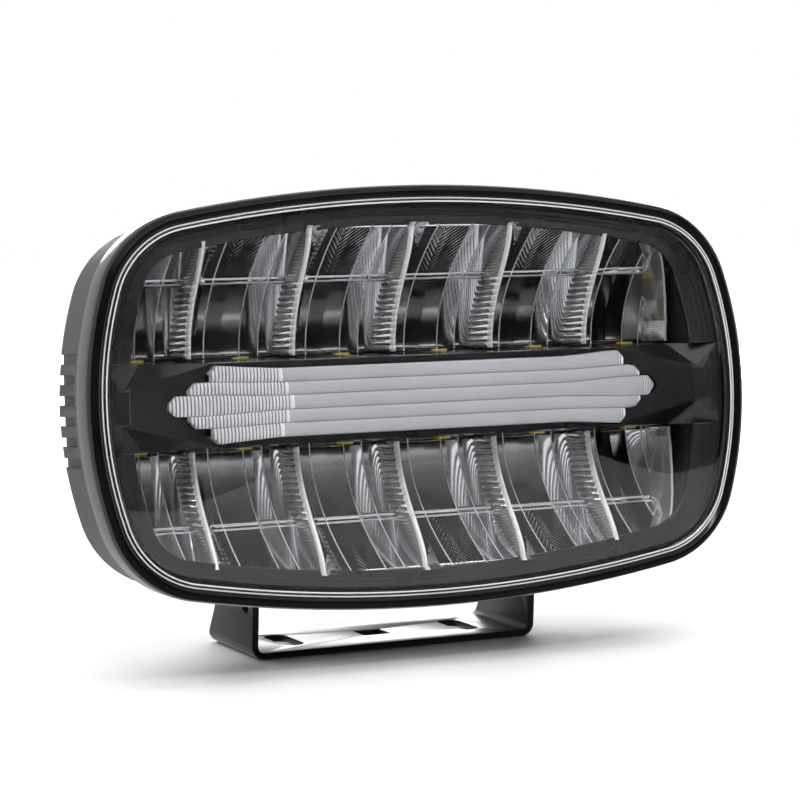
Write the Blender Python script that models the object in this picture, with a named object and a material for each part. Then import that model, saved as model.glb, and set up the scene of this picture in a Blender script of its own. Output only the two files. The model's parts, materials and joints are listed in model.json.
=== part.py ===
"""LED auxiliary driving lamp on a tilting bracket, modelled as its separate pieces.

Two frames are used, both right-handed with +X to the lamp's right as seen from the front,
+Y towards the back and +Z up, in millimetres until a mesh is made:

* the bracket frame is the world frame: z = 0 is the underside of the bracket's base;
* the lamp frame has its origin at the middle of the lamp's face, on the widest rim of the
  bezel. It hangs on the empty "tilt_axis", which lies on the two pivot bolts and carries the
  lamp's resting tilt.
"""
import math

import bpy
import bmesh
from mathutils import Matrix, Vector

MM = 0.001

# ---- driving dimensions, in millimetres and degrees ----
HALF_WIDTH = 160.0            # lamp face, half of 320
HALF_HEIGHT = 93.2            # lamp face, half of 186.4
TOP_RADIUS = 654.0            # large arc along the top and bottom of the outline
SIDE_RADIUS = 171.0           # arc along each side of the outline
CORNER_RADIUS = 45.3          # arc that joins them

REST_TILT = 4.4               # the lamp looks up by this much over the level bracket
PIVOT_Y = 67.9                # pivot bolts, in the lamp frame
PIVOT_Z = -61.3
PIVOT_HEIGHT = 53.0           # pivot bolts above the underside of the bracket
BRACKET_Y = 23.774            # middle of the bracket's base, so that the whole is centred on Y = 0

BRACKET_HALF_WIDTH = 71.3     # outside of the bracket's arms
SHEET = 3.0                   # bracket sheet thickness
BEND_RADIUS = 6.0             # outside radius of the bracket's two bends
BASE_HALF_DEPTH = 27.0
ARM_RADIUS = 15.0             # round end of an arm, about the pivot
ARM_FRONT_FOOT = (-28.5, 21.0)   # where the arm's front edge leaves the vertical, in (y, z)
ARM_REAR_WAIST = (10.0, 30.0)    # where its rear edge turns up to the round end
SPARE_HOLE_AT = (-19.5, 21.6)
PIVOT_IN_BRACKET_Y = -6.0     # pivot ahead of the base's middle
SQUARE_HOLE = 13.5            # for a 12 mm coach bolt
SLOT_X = 44.8                 # middle of each base slot
SLOT_WIDTH = 11.0
SLOT_LENGTH = 30.0
SPARE_HOLE_RADIUS = 4.3       # spare hole low in each arm
BOLT_RADIUS = 4.0             # M8
BOLT_HOLE_RADIUS = 4.6

GAP = 0.3                     # clearance between touching pieces
WALL = 3.0                    # die-cast wall of the housing

SKIRT_BACK = 17.5             # back edge of the bezel's skirt
LIP_INSET = 6.2               # inner edge of the bezel's lip
SIDE_INSET = 4.0              # side wall of the housing, in from the face outline
REAR_Y = 59.0                 # outside of the housing's rear wall
REAR_ROUND = 9.0
BOSS_HALF_WIDTH = 66.2        # rear power housing, between the bracket's arms
BOSS_BOTTOM = -80.0
BOSS_TOP = 50.0
BOSS_Y = 86.0                 # roots of the rear fins
FIN_Y = 98.0                  # tips of the rear fins
FIN_COUNT = 9
FIN_PITCH = 14.55
FIN_BOTTOM = -38.0            # below this the boss has a flat for the gland and the vent
GLAND_X, GLAND_Z = -30.0, -58.0
VENT_X, VENT_Z = 30.0, -58.0
CABLE_RADIUS = 4.0
SIDE_GROOVES = 6
SIDE_GROOVE_PITCH = 8.95
SIDE_GROOVE_HEIGHT = 4.0

CELLS = 6                     # reflector cells in a row
CELL_PITCH = 49.16
RIB_HALF_WIDTH = 5.4          # wall between two cells
END_WALL_X = 137.2
SHELF_Z = 20.3                # reflector edge next to the centre bar
REFLECTOR_BACK = 52.0         # reflector surface at the shelf
REFLECTOR_CURVE = 73.0        # parabola: the surface comes forward by h * h / this
REFLECTOR_TOP = 76.0
REFLECTOR_FRONT = 9.5
LED_Y = 45.5
BOARD_THICKNESS = 1.6
LED_BOARD_Z = 18.7            # top of the upper LED board
BAR_LEVELS = (4.5, 9.9, 17.0)        # half-heights of the stacked light bar at its ends
BAR_LENGTHS = (120.3, 111.5, 102.0)  # half-length at each level
BAR_CHAMFER = 3.6
BAR_WAIST = (70.0, 14.9)      # between these the bar is straight and lower, in (x, z)
TRIM_HALF_HEIGHT = 18.4
TRIM_HALF_LENGTH = 137.0
TRIM_FRONT = 14.0
TRIM_BACK = 27.0
DRIVER_Y = 68.0               # front of the converter board
DRIVER_SCREWS = ((-43, -17), (43, -17), (-43, 35), (43, 35))   # in (x, z)
DRIVER_SCREW_RADIUS = 1.5

# ---- collections, frames and materials ----


def new_collection(name):
    collection = bpy.data.collections.new(name)
    bpy.context.scene.collection.children.link(collection)
    return collection


def clear_scene():
    for old in list(bpy.data.objects):
        bpy.data.objects.remove(old, do_unlink=True)


clear_scene()
PARTS = new_collection("driving_lamp")
CUTTERS = new_collection("cutters")


def make_tilt_axis():
    """Empty on the pivot bolts; everything that tilts is parented to it."""
    empty = bpy.data.objects.new("tilt_axis", None)
    empty.location = (0, (BRACKET_Y + PIVOT_IN_BRACKET_Y) * MM, PIVOT_HEIGHT * MM)
    empty.rotation_euler = (-math.radians(REST_TILT), 0, 0)
    PARTS.objects.link(empty)
    return empty


TILT_AXIS = make_tilt_axis()
BRACKET_PLACE = Matrix.Translation(Vector((0, BRACKET_Y, SHEET)) * MM)


def hang(obj):
    """Puts an object made in the lamp frame under the tilting empty."""
    obj.parent = TILT_AXIS
    obj.location = Vector((0, -PIVOT_Y, -PIVOT_Z)) * MM
    return obj


def stand(obj):
    """Puts an object made in the bracket's frame (origin on top of the base) in the world."""
    obj.matrix_world = BRACKET_PLACE
    return obj


def material(name, color, roughness, metallic=0.0, transmission=0.0):
    mat = bpy.data.materials.new(name)
    mat.use_nodes = True
    shader = mat.node_tree.nodes["Principled BSDF"]
    shader.inputs["Base Color"].default_value = (*color, 1)
    shader.inputs["Roughness"].default_value = roughness
    shader.inputs["Metallic"].default_value = metallic
    shader.inputs["Transmission Weight"].default_value = transmission
    return mat


GLOSS_BLACK = material("gloss_black_plastic", (0.012, 0.012, 0.013), 0.18)
SATIN_BLACK = material("satin_black_plastic", (0.03, 0.03, 0.032), 0.42)
CAST = material("powder_coated_aluminium", (0.055, 0.056, 0.058), 0.5, 0.2)
STEEL_BLACK = material("powder_coated_steel", (0.03, 0.03, 0.032), 0.45, 0.2)
CHROME = material("vacuum_metallised_reflector", (0.85, 0.86, 0.88), 0.05, 1.0)
CLEAR = material("clear_polycarbonate", (0.95, 0.96, 0.97), 0.03, 0.0, 1.0)
DIFFUSER = material("milky_diffuser", (0.6, 0.61, 0.65), 0.35)
RUBBER = material("black_silicone", (0.02, 0.02, 0.02), 0.8)
BOARD = material("white_solder_mask", (0.7, 0.7, 0.68), 0.5)
GREEN_BOARD = material("green_solder_mask", (0.02, 0.14, 0.06), 0.4)
PHOSPHOR = material("led_phosphor", (0.85, 0.62, 0.08), 0.5)
BARE_ALUMINIUM = material("bare_aluminium", (0.6, 0.61, 0.62), 0.35, 1.0)
ZINC = material("zinc_plated_steel", (0.55, 0.56, 0.58), 0.3, 1.0)
BLACK_STEEL = material("black_oxide_steel", (0.05, 0.05, 0.052), 0.35, 0.8)
FERRITE = material("ferrite", (0.06, 0.06, 0.065), 0.7)
CAN = material("capacitor_sleeve", (0.05, 0.07, 0.16), 0.35)

# ---- outlines ----


def arc(center, radius, start, end, steps):
    """Points on an arc, angles in radians, both ends included."""
    points = []
    for i in range(steps + 1):
        angle = start + (end - start) * i / steps
        points.append((center[0] + radius * math.cos(angle), center[1] + radius * math.sin(angle)))
    return points


def face_outline(half_width, half_height, top_radius, side_radius, corner_radius, steps=(4, 7, 4)):
    """Closed outline in (x, z) of three tangent arcs a quarter: top, corner and side."""
    top_center = Vector((0, half_height - top_radius))
    side_center = Vector((half_width - side_radius, 0))
    reach_top = top_radius - corner_radius
    reach_side = side_radius - corner_radius
    between = side_center - top_center
    along = (reach_top**2 - reach_side**2 + between.length**2) / (2 * between.length)
    across = math.sqrt(reach_top**2 - along**2)
    unit = between.normalized()
    corner = top_center + unit * along + Vector((unit.y, -unit.x)) * across
    top_end = math.atan2(*(corner - top_center).yx)
    side_end = math.atan2(*(corner - side_center).yx)
    quarter = arc(side_center, side_radius, 0, side_end, steps[2])
    quarter += arc(corner, corner_radius, side_end, top_end, steps[1])[1:]
    quarter += arc(top_center, top_radius, top_end, math.pi / 2, steps[0])[1:]
    right_top = quarter
    left_top = [(-x, z) for x, z in reversed(quarter)][1:]
    upper = right_top + left_top
    lower = [(x, -z) for x, z in reversed(upper)][1:-1]
    return upper + lower


def rim(inset):
    """The lamp's own outline, moved inwards."""
    return face_outline(HALF_WIDTH - inset, HALF_HEIGHT - inset, TOP_RADIUS - inset,
                        SIDE_RADIUS - inset, CORNER_RADIUS - inset)


def rounded(corners, steps=4):
    """Polygon whose corners (x, y, radius) are rounded with arcs."""
    points = []
    count = len(corners)
    for i, (x, y, radius) in enumerate(corners):
        here = Vector((x, y))
        if radius == 0:
            points.append((x, y))
            continue
        before = (Vector(corners[i - 1][:2]) - here).normalized()
        after = (Vector(corners[(i + 1) % count][:2]) - here).normalized()
        half = before.angle(after) / 2
        middle = here + (before + after).normalized() * radius / math.sin(half)
        first = here + before * radius / math.tan(half) - middle
        last = here + after * radius / math.tan(half) - middle
        start = math.atan2(first.y, first.x)
        sweep = math.atan2(last.y, last.x) - start
        sweep = (sweep + math.pi) % (2 * math.pi) - math.pi
        points += arc(middle, radius, start, start + sweep, steps)
    return points


# ---- solids ----

ALONG_X = Matrix(((0, 0, 1), (1, 0, 0), (0, 1, 0))).to_4x4()    # outline in (y, z)
ALONG_Y = Matrix(((1, 0, 0), (0, 0, -1), (0, 1, 0))).to_4x4()   # outline in (x, z)


def keep(name, mesh, mat, collection):
    """Links a finished mesh as an object."""
    obj = bpy.data.objects.new(name, mesh)
    collection.objects.link(obj)
    if mat:
        mesh.materials.append(mat)
    if collection is CUTTERS:
        obj.hide_render = True
        obj.display_type = "WIRE"
    return obj


def mesh_from(name, bm, smooth_angle=30):
    bm.normal_update()
    bmesh.ops.recalc_face_normals(bm, faces=bm.faces)
    mesh = bpy.data.meshes.new(name)
    bm.to_mesh(mesh)
    bm.free()
    mesh.shade_smooth()
    mesh.set_sharp_from_angle(angle=math.radians(smooth_angle))
    return mesh


def slab(name, outlines, low, high, turn, mat=None, collection=PARTS):
    """Flat outlines (the first is the edge, the rest are holes) extruded from low to high."""
    curve = bpy.data.curves.new(name, "CURVE")
    curve.dimensions = "2D"
    curve.fill_mode = "BOTH"
    curve.extrude = (high - low) / 2 * MM
    for outline in outlines:
        spline = curve.splines.new("POLY")
        spline.points.add(len(outline) - 1)
        for point, (u, v) in zip(spline.points, outline):
            point.co = (u * MM, v * MM, 0, 1)
        spline.use_cyclic_u = True
    flat = bpy.data.objects.new(name + "_outline", curve)
    bpy.context.scene.collection.objects.link(flat)
    graph = bpy.context.evaluated_depsgraph_get()
    mesh = bpy.data.meshes.new_from_object(flat.evaluated_get(graph))
    bpy.data.objects.remove(flat, do_unlink=True)
    bm = bmesh.new()
    bm.from_mesh(mesh)
    bpy.data.meshes.remove(mesh)
    bmesh.ops.remove_doubles(bm, verts=bm.verts, dist=1e-6)
    bmesh.ops.translate(bm, verts=bm.verts, vec=(0, 0, (low + high) / 2 * MM))
    bmesh.ops.transform(bm, matrix=turn, verts=bm.verts)
    return keep(name, mesh_from(name, bm), mat, collection)


def block(name, low, high, mat=None, collection=PARTS):
    """Box between two corners."""
    bm = bmesh.new()
    size = [(b - a) * MM for a, b in zip(low, high)]
    center = [(b + a) / 2 * MM for a, b in zip(low, high)]
    place = Matrix.Translation(center) @ Matrix.Diagonal((*size, 1))
    bmesh.ops.create_cube(bm, size=1, matrix=place)
    return keep(name, mesh_from(name, bm), mat, collection)


def rod(name, center, axis, radius, low, high, sides=24, mat=None, collection=PARTS, hole=0.0):
    """Cylinder, or a washer when it has a hole, along X, Y or Z from low to high."""
    turn = {"X": ALONG_X, "Y": ALONG_Y, "Z": Matrix.Identity(4)}[axis]
    rings = [arc((0, 0), radius, 0, 2 * math.pi, sides)[:-1]]
    if hole:
        rings.append(arc((0, 0), hole, 0, 2 * math.pi, max(sides, 20))[:-1])
    if axis == "Y":
        low, high = -high, -low
    obj = slab(name, rings, low, high, turn, mat, collection)
    obj.data.transform(Matrix.Translation(Vector(center) * MM))
    return obj


def loft(name, loops, mat=None, collection=PARTS, ring=False):
    """Skin through loops of equal length; closed on itself when ring, else capped."""
    bm = bmesh.new()
    rows = []
    for loop in loops:
        rows.append([bm.verts.new(Vector(point) * MM) for point in loop])
    count = len(rows[0])
    pairs = list(zip(rows, rows[1:]))
    if ring:
        pairs.append((rows[-1], rows[0]))
    else:
        bm.faces.new(rows[0])
        bm.faces.new(list(reversed(rows[-1])))
    for lower, upper in pairs:
        for i in range(count):
            j = (i + 1) % count
            bm.faces.new((lower[j], lower[i], upper[i], upper[j]))
    return keep(name, mesh_from(name, bm), mat, collection)


def rim_loft(name, profile, mat=None, collection=PARTS, ring=False):
    """Loft whose loops are the lamp's outline at (inset, y)."""
    loops = [[(x, y, z) for x, z in rim(inset)] for inset, y in profile]
    return loft(name, loops, mat, collection, ring)


def boolean(obj, tool, operation="DIFFERENCE"):
    mod = obj.modifiers.new(tool.name, "BOOLEAN")
    mod.object = tool
    mod.operation = operation
    mod.solver = "EXACT"
    return obj


def mirror_x(points):
    return [(-x, z) for x, z in reversed(points)]


# ---- face of the lamp ----


def make_bezel():
    profile = [(0.0, 1.6), (0.0, 4.0), (0.6, SKIRT_BACK), (3.0, SKIRT_BACK), (3.0, 1.4),
               (LIP_INSET, 1.4), (LIP_INSET, -0.8), (4.0, -2.6), (2.8, -2.9), (0.7, -1.0)]
    hang(rim_loft("front_bezel", profile, GLOSS_BLACK, ring=True))


LENS_INSETS = (6.6, 12.0, 24.0, 40.0)


def dome(inset, edge_y, rise):
    """Depth of the domed lens at an inset from the outline."""
    depth = min((inset - LENS_INSETS[0]) / (HALF_HEIGHT - LENS_INSETS[0]), 1)
    return edge_y - rise * (1 - (1 - depth) ** 2)


def make_lens():
    """Clear cover: a flange under the bezel's lip, a raised edge and a shallow dome."""
    outside = [(inset, dome(inset, -1.6, 3.6)) for inset in LENS_INSETS]
    inside = [(inset, dome(inset, 1.4, 3.4)) for inset in reversed(LENS_INSETS)]
    inside[-1] = (9.6, 1.2)
    profile = list(reversed(outside)) + [(6.6, 1.7), (3.4, 1.7), (3.4, 4.2), (9.6, 4.2)]
    profile += list(reversed(inside))
    hang(rim_loft("front_lens", profile, CLEAR))


def make_gasket():
    profile = [(3.8, 4.5), (3.8, 6.1), (6.4, 6.1), (6.4, 4.5)]
    hang(rim_loft("lens_gasket", profile, RUBBER, ring=True))


MASK_OPENING = (138.4, 76.3, 616.0, 167.0, 20.0)


def make_mask():
    """Black frame between the lens and the reflectors, with one large opening."""
    def opening(grow):
        size = [MASK_OPENING[0] + grow, MASK_OPENING[1] + grow] + [r + grow for r in MASK_OPENING[2:]]
        return face_outline(*size)
    loops = [[(x, 7.2, z) for x, z in rim(8.0)], [(x, 7.2, z) for x, z in rim(11.0)],
             [(x, 9.0, z) for x, z in opening(0)], [(x, 11.0, z) for x, z in opening(0)],
             [(x, 9.2, z) for x, z in rim(11.0)], [(x, 9.2, z) for x, z in rim(8.0)]]
    hang(loft("inner_mask", loops, SATIN_BLACK, ring=True))


# ---- centre bar ----


def bar_outline(grow):
    """Stepped outline of the light bar in (x, z), its ends chamfered, counter-clockwise."""
    quarter = []
    below = None
    for length, height in zip(BAR_LENGTHS, BAR_LEVELS):
        if below is not None:
            quarter.append((length + grow, below + grow))
        quarter += [(length + grow, height + grow - BAR_CHAMFER),
                    (length + grow - BAR_CHAMFER, height + grow)]
        below = height
    quarter.append((BAR_WAIST[0], BAR_WAIST[1] + grow))
    upper = quarter + mirror_x(quarter)
    lower = [(x, -z) for x, z in reversed(upper)]
    return upper + lower


def make_center_trim():
    """Black bar that covers the LED boards, with a stepped window for the light bar."""
    low = (-TRIM_HALF_LENGTH, TRIM_FRONT, -TRIM_HALF_HEIGHT)
    high = (TRIM_HALF_LENGTH, TRIM_BACK, TRIM_HALF_HEIGHT)
    trim = hang(block("center_trim", low, high, SATIN_BLACK))
    window = slab("trim_window", [bar_outline(GAP)], -40.0, 0.0, ALONG_Y, collection=CUTTERS)
    boolean(trim, hang(window))


def bar_front(x):
    """Front of the light bar: flat in the middle, its ends swept back."""
    return 7.0 + max(abs(x) - 72.0, 0) ** 2 / 300


def make_light_bar():
    """Milky bar of five stacked strips, bowed so that both ends sweep back."""
    reach = BAR_LENGTHS[0] + 2
    stations = [reach, 114, 107, 99, 90, 80, 70]
    front = [(x, bar_front(x)) for x in stations]
    bow = [(-reach, 26.6)] + [(reach, 26.6)] + front + mirror_x(front)
    bar = slab("light_bar_lens", [bow], -18, 18, Matrix.Identity(4), DIFFUSER)
    steps = slab("bar_steps", [bar_outline(0)], -40, 0, ALONG_Y, collection=CUTTERS)
    boolean(hang(bar), hang(steps), "INTERSECT")


def make_light_bar_board():
    hang(block("light_bar_board", (-112, 27.3, -13), (112, 28.9, 13), BOARD))


# ---- reflectors and LEDs ----


def reflector_y(height):
    """Reflector surface at a height above the shelf."""
    return REFLECTOR_BACK - height * height / REFLECTOR_CURVE


def rib_front(height):
    """Front edge of the wall between two cells."""
    return max(reflector_y(height) - 20.5, REFLECTOR_FRONT - 2.0)


def reflector_profiles(side):
    """Section of the shell and of a rib in (y, z); side is +1 for the upper row."""
    top = REFLECTOR_TOP - SHELF_Z
    heights = [top * i / 8 for i in range(9)]
    surface = [(reflector_y(h), side * (SHELF_Z + h)) for h in heights]
    back = [(reflector_y(h) + 1.8, side * (SHELF_Z + h)) for h in heights]
    front = [(rib_front(h), side * (SHELF_Z + h)) for h in heights]
    return surface + back[::-1], front + [(y + 1.0, z) for y, z in surface[::-1]]


def make_reflector(name, side):
    """One row: a parabolic sheet with five ribs and two end walls joined to it."""
    shell_section, rib_section = reflector_profiles(side)
    reach = END_WALL_X
    row = hang(slab(name, [shell_section], -reach, reach, ALONG_X, CHROME))
    walls = [(k * CELL_PITCH - RIB_HALF_WIDTH, k * CELL_PITCH + RIB_HALF_WIDTH)
             for k in range(-2, 3)]
    walls += [(-reach - 0.2, -reach + 1.8), (reach - 1.8, reach + 0.2)]
    for i, (low, high) in enumerate(walls):
        wall = slab(f"{name}_wall_{i + 1}", [rib_section], low, high, ALONG_X, collection=CUTTERS)
        boolean(row, hang(wall), "UNION")
    window = face_outline(MASK_OPENING[0], MASK_OPENING[1] - 1.2, *MASK_OPENING[2:])
    corner = slab(name + "_corners", [window], -120, 0, ALONG_Y, collection=CUTTERS)
    boolean(row, hang(corner), "INTERSECT")


def make_led_row(row, side):
    """One horizontal board with its six LEDs."""
    low = LED_BOARD_Z - BOARD_THICKNESS
    zs = sorted((side * low, side * LED_BOARD_Z))
    hang(block(f"{row}_led_board", (-134, 37, zs[0]), (134, 51, zs[1]), BOARD))
    zs = sorted((side * (LED_BOARD_Z + GAP), side * (LED_BOARD_Z + GAP + 1.6)))
    for i in range(CELLS):
        x = (i - (CELLS - 1) / 2) * CELL_PITCH
        hang(block(f"{row}_led_{i + 1}", (x - 3.4, LED_Y - 2.6, zs[0]),
                   (x + 3.4, LED_Y + 2.6, zs[1]), PHOSPHOR))


def make_heat_spreader():
    """Aluminium channel that carries both LED boards to the rear wall."""
    inner = LED_BOARD_Z - BOARD_THICKNESS - GAP
    section = [(37, inner), (55.4, inner), (55.4, -inner), (37, -inner), (37, -inner + 3),
               (51.5, -inner + 3), (51.5, inner - 3), (37, inner - 3)]
    hang(slab("led_heat_spreader", [section], -133, 133, ALONG_X, BARE_ALUMINIUM))


# ---- housing ----


def make_boss_solid(name):
    """Rear power housing with vertical fins, as one extruded comb."""
    shoulder = BOSS_Y - 4
    comb = [(-BOSS_HALF_WIDTH, REAR_Y - 2), (-BOSS_HALF_WIDTH, shoulder)]
    for i in range(FIN_COUNT):
        x = (i - (FIN_COUNT - 1) / 2) * FIN_PITCH
        comb += [(x - 2.2, BOSS_Y), (x - 1.5, FIN_Y), (x + 1.5, FIN_Y), (x + 2.2, BOSS_Y)]
    comb += [(BOSS_HALF_WIDTH, shoulder), (BOSS_HALF_WIDTH, REAR_Y - 2)]
    boss = slab(name, [comb], BOSS_BOTTOM, BOSS_TOP, Matrix.Identity(4), collection=CUTTERS)
    slope = 18
    side = [(40, BOSS_BOTTOM), (BOSS_Y, BOSS_BOTTOM), (BOSS_Y, FIN_BOTTOM),
            (FIN_Y + 1, FIN_BOTTOM + slope), (FIN_Y + 1, BOSS_TOP - slope), (BOSS_Y, BOSS_TOP),
            (40, BOSS_TOP)]
    trim = slab(name + "_ends", [side], -90, 90, ALONG_X, collection=CUTTERS)
    boolean(boss, hang(trim), "INTERSECT")
    return hang(boss)


def arm_sweep(grow):
    """Space that an arm crosses while the lamp tilts, in (y, z) of the lamp frame."""
    front = -16.5 - grow
    top = ARM_RADIUS + 2 + grow
    corners = [(front, top, 8), (front, 4, 0), (-30 - grow, -24, 0), (-34 - grow, -60, 0),
               (60, -60, 0), (60, top, 0)]
    return [(PIVOT_Y + y, PIVOT_Z + z) for y, z in rounded(corners)]


def make_cavity():
    """Hollow of the housing, kept clear of the arm reliefs and the side fins."""
    inset = SIDE_INSET + WALL
    back = REAR_Y - WALL
    profile = [(inset, 0.0), (inset, back - 6), (inset + 1.8, back - 1.8), (inset + 6, back)]
    cavity = hang(rim_loft("housing_cavity", profile, collection=CUTTERS))
    pocket = block("boss_pocket", (-BOSS_HALF_WIDTH + 4.5, 40, BOSS_BOTTOM + 5),
                   (BOSS_HALF_WIDTH - 4.5, BOSS_Y - 4, BOSS_TOP - 5), collection=CUTTERS)
    boolean(cavity, hang(pocket), "UNION")
    for side in (-1, 1):
        word = "left" if side < 0 else "right"
        xs = sorted((side * 63.6, side * 76.2))
        wall = slab(f"relief_wall_{word}", [arm_sweep(2.6)], *xs, ALONG_X, collection=CUTTERS)
        boolean(cavity, hang(wall))
        xs = sorted((side * 147.0, side * 165.0))
        pad = block(f"fin_pad_{word}", (xs[0], 27, -30), (xs[1], 70, 30), collection=CUTTERS)
        boolean(cavity, hang(pad))
    return cavity


def make_side_grooves(housing):
    """Six short cooling grooves cut into each end of the housing."""
    for side in (-1, 1):
        for i in range(SIDE_GROOVES):
            z = (i - (SIDE_GROOVES - 1) / 2) * SIDE_GROOVE_PITCH
            half = SIDE_GROOVE_HEIGHT / 2
            corners = [(30, z - half, 1.5), (75, z - half, 0), (75, z + half, 0), (30, z + half, 1.5)]
            xs = sorted((side * 151.6, side * 170.0))
            word = "left" if side < 0 else "right"
            groove = slab(f"groove_{word}_{i + 1}", [rounded(corners, 2)], *xs, ALONG_X,
                          collection=CUTTERS)
            boolean(housing, hang(groove))


def make_housing():
    inset = SIDE_INSET
    profile = [(3.4, 6.4), (3.4, SKIRT_BACK - 1.2), (inset, SKIRT_BACK + 0.4),
               (inset, REAR_Y - REAR_ROUND)]
    for i in range(1, 4):
        angle = math.pi / 2 * i / 3
        profile.append((inset + REAR_ROUND * (1 - math.cos(angle)),
                        REAR_Y - REAR_ROUND * (1 - math.sin(angle))))
    housing = hang(rim_loft("rear_housing", profile, CAST))
    boolean(housing, make_boss_solid("power_boss"), "UNION")
    boolean(housing, make_cavity())
    for side in (-1, 1):
        word = "left" if side < 0 else "right"
        xs = sorted((side * BOSS_HALF_WIDTH, side * 73.6))
        relief = slab(f"arm_relief_{word}", [arm_sweep(0)], *xs, ALONG_X, collection=CUTTERS)
        boolean(housing, hang(relief))
        xs = sorted((side * 45.0, side * 80.0))
        bore = rod(f"pivot_bore_{word}", (0, PIVOT_Y, PIVOT_Z), "X", BOLT_RADIUS + GAP, *xs,
                   collection=CUTTERS)
        boolean(housing, hang(bore))
    make_side_grooves(housing)
    for name, x, z, radius in (("gland_bore", GLAND_X, GLAND_Z, 6.0),
                               ("vent_bore", VENT_X, VENT_Z, 3.0)):
        bore = rod(name, (x, 0, z), "Y", radius + GAP, 70, 110, 20, collection=CUTTERS)
        boolean(housing, hang(bore))
    add_driver_posts(housing)


def add_driver_posts(housing):
    """Four posts in the rear power housing, each with a screw hole, for the converter board."""
    face = DRIVER_Y + BOARD_THICKNESS + GAP
    for i, (x, z) in enumerate(DRIVER_SCREWS):
        post = rod(f"driver_post_{i + 1}", (x, 0, z), "Y", 4.0, face, BOSS_Y - 3, 12,
                   collection=CUTTERS)
        boolean(housing, hang(post), "UNION")
        hole = rod(f"driver_post_hole_{i + 1}", (x, 0, z), "Y", DRIVER_SCREW_RADIUS + GAP,
                   face - 2, face + 8, 12, collection=CUTTERS)
        boolean(housing, hang(hole))


# ---- fittings on the back ----


def make_gland():
    """Cable gland: stem and hexagonal collar, nut, and the seal that grips an 8 mm cable."""
    face = BOSS_Y + GAP
    body = rod("cable_gland_body", (GLAND_X, 0, GLAND_Z), "Y", 10.5, face, face + 5, 6, BLACK_STEEL)
    hang(body)
    stem = rod("gland_stem", (GLAND_X, 0, GLAND_Z), "Y", 6.0, 76, face + 9, collection=CUTTERS)
    boolean(body, hang(stem), "UNION")
    way = rod("gland_way", (GLAND_X, 0, GLAND_Z), "Y", CABLE_RADIUS + 0.1, 60, 120, 20,
              collection=CUTTERS)
    boolean(body, hang(way))
    hang(rod("cable_gland_nut", (GLAND_X, 0, GLAND_Z), "Y", 10.0, face + 5 + GAP, face + 15, 6,
             BLACK_STEEL, hole=6.0 + GAP))
    hang(rod("cable_gland_seal", (GLAND_X, 0, GLAND_Z), "Y", 5.9, face + 9 + GAP, face + 15, 20,
             RUBBER, hole=CABLE_RADIUS))


def make_vent():
    """Breather cap with its short stem."""
    face = BOSS_Y + GAP
    cap = hang(rod("breather_vent", (VENT_X, 0, VENT_Z), "Y", 7.0, face, face + 4, 20, SATIN_BLACK))
    stem = rod("vent_stem", (VENT_X, 0, VENT_Z), "Y", 3.0, 79, face + 1, 16, collection=CUTTERS)
    boolean(cap, hang(stem), "UNION")


def make_driver():
    """Converter board in the rear power housing, with its large components."""
    board = hang(block("driver_board", (-48, DRIVER_Y, -22), (48, DRIVER_Y + BOARD_THICKNESS, 40),
                       GREEN_BOARD))
    front = DRIVER_Y - GAP
    hang(rod("driver_inductor", (-26, 0, 8), "Y", 9.0, front - 9, front, 20, FERRITE))
    hang(rod("driver_capacitor_1", (4, 0, 22), "Y", 6.0, front - 10, front, 20, CAN))
    hang(rod("driver_capacitor_2", (4, 0, 4), "Y", 6.0, front - 10, front, 20, CAN))
    hang(block("driver_connector", (22, front - 8, -14), (42, front, -4), SATIN_BLACK))
    for i, (x, z) in enumerate(DRIVER_SCREWS):
        hole = rod(f"driver_board_hole_{i + 1}", (x, 0, z), "Y", DRIVER_SCREW_RADIUS + GAP,
                   front - 2, front + 5, 12, collection=CUTTERS)
        boolean(board, hang(hole))
        screw = hang(rod(f"driver_screw_{i + 1}", (x, 0, z), "Y", 2.8, front - 2.5, front, 12, ZINC))
        shank = rod(f"driver_screw_shank_{i + 1}", (x, 0, z), "Y", DRIVER_SCREW_RADIUS, front - 1,
                    front + 8, 12, collection=CUTTERS)
        boolean(screw, hang(shank), "UNION")


# ---- bracket and its bolts ----


def arm_outline(pivot):
    """Side view of the bracket in (y, z): its base, and arms that taper to a round end."""
    def tangent(foot, turn):
        away = Vector(foot) - Vector(pivot)
        return math.atan2(away.y, away.x) + turn * math.acos(ARM_RADIUS / away.length)

    start = tangent(ARM_REAR_WAIST, 1)
    end = tangent(ARM_FRONT_FOOT, -1) + 2 * math.pi
    below = -SHEET - 2
    side = [(BASE_HALF_DEPTH, below, 0), (BASE_HALF_DEPTH, 2.0, 5), (*ARM_REAR_WAIST, 12)]
    side += [(y, z, 0) for y, z in arc(pivot, ARM_RADIUS, start, end, 10)]
    side += [(*ARM_FRONT_FOOT, 10), (-BASE_HALF_DEPTH, 2.0, 0), (-BASE_HALF_DEPTH, below, 0)]
    return rounded(side, 6)


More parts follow.
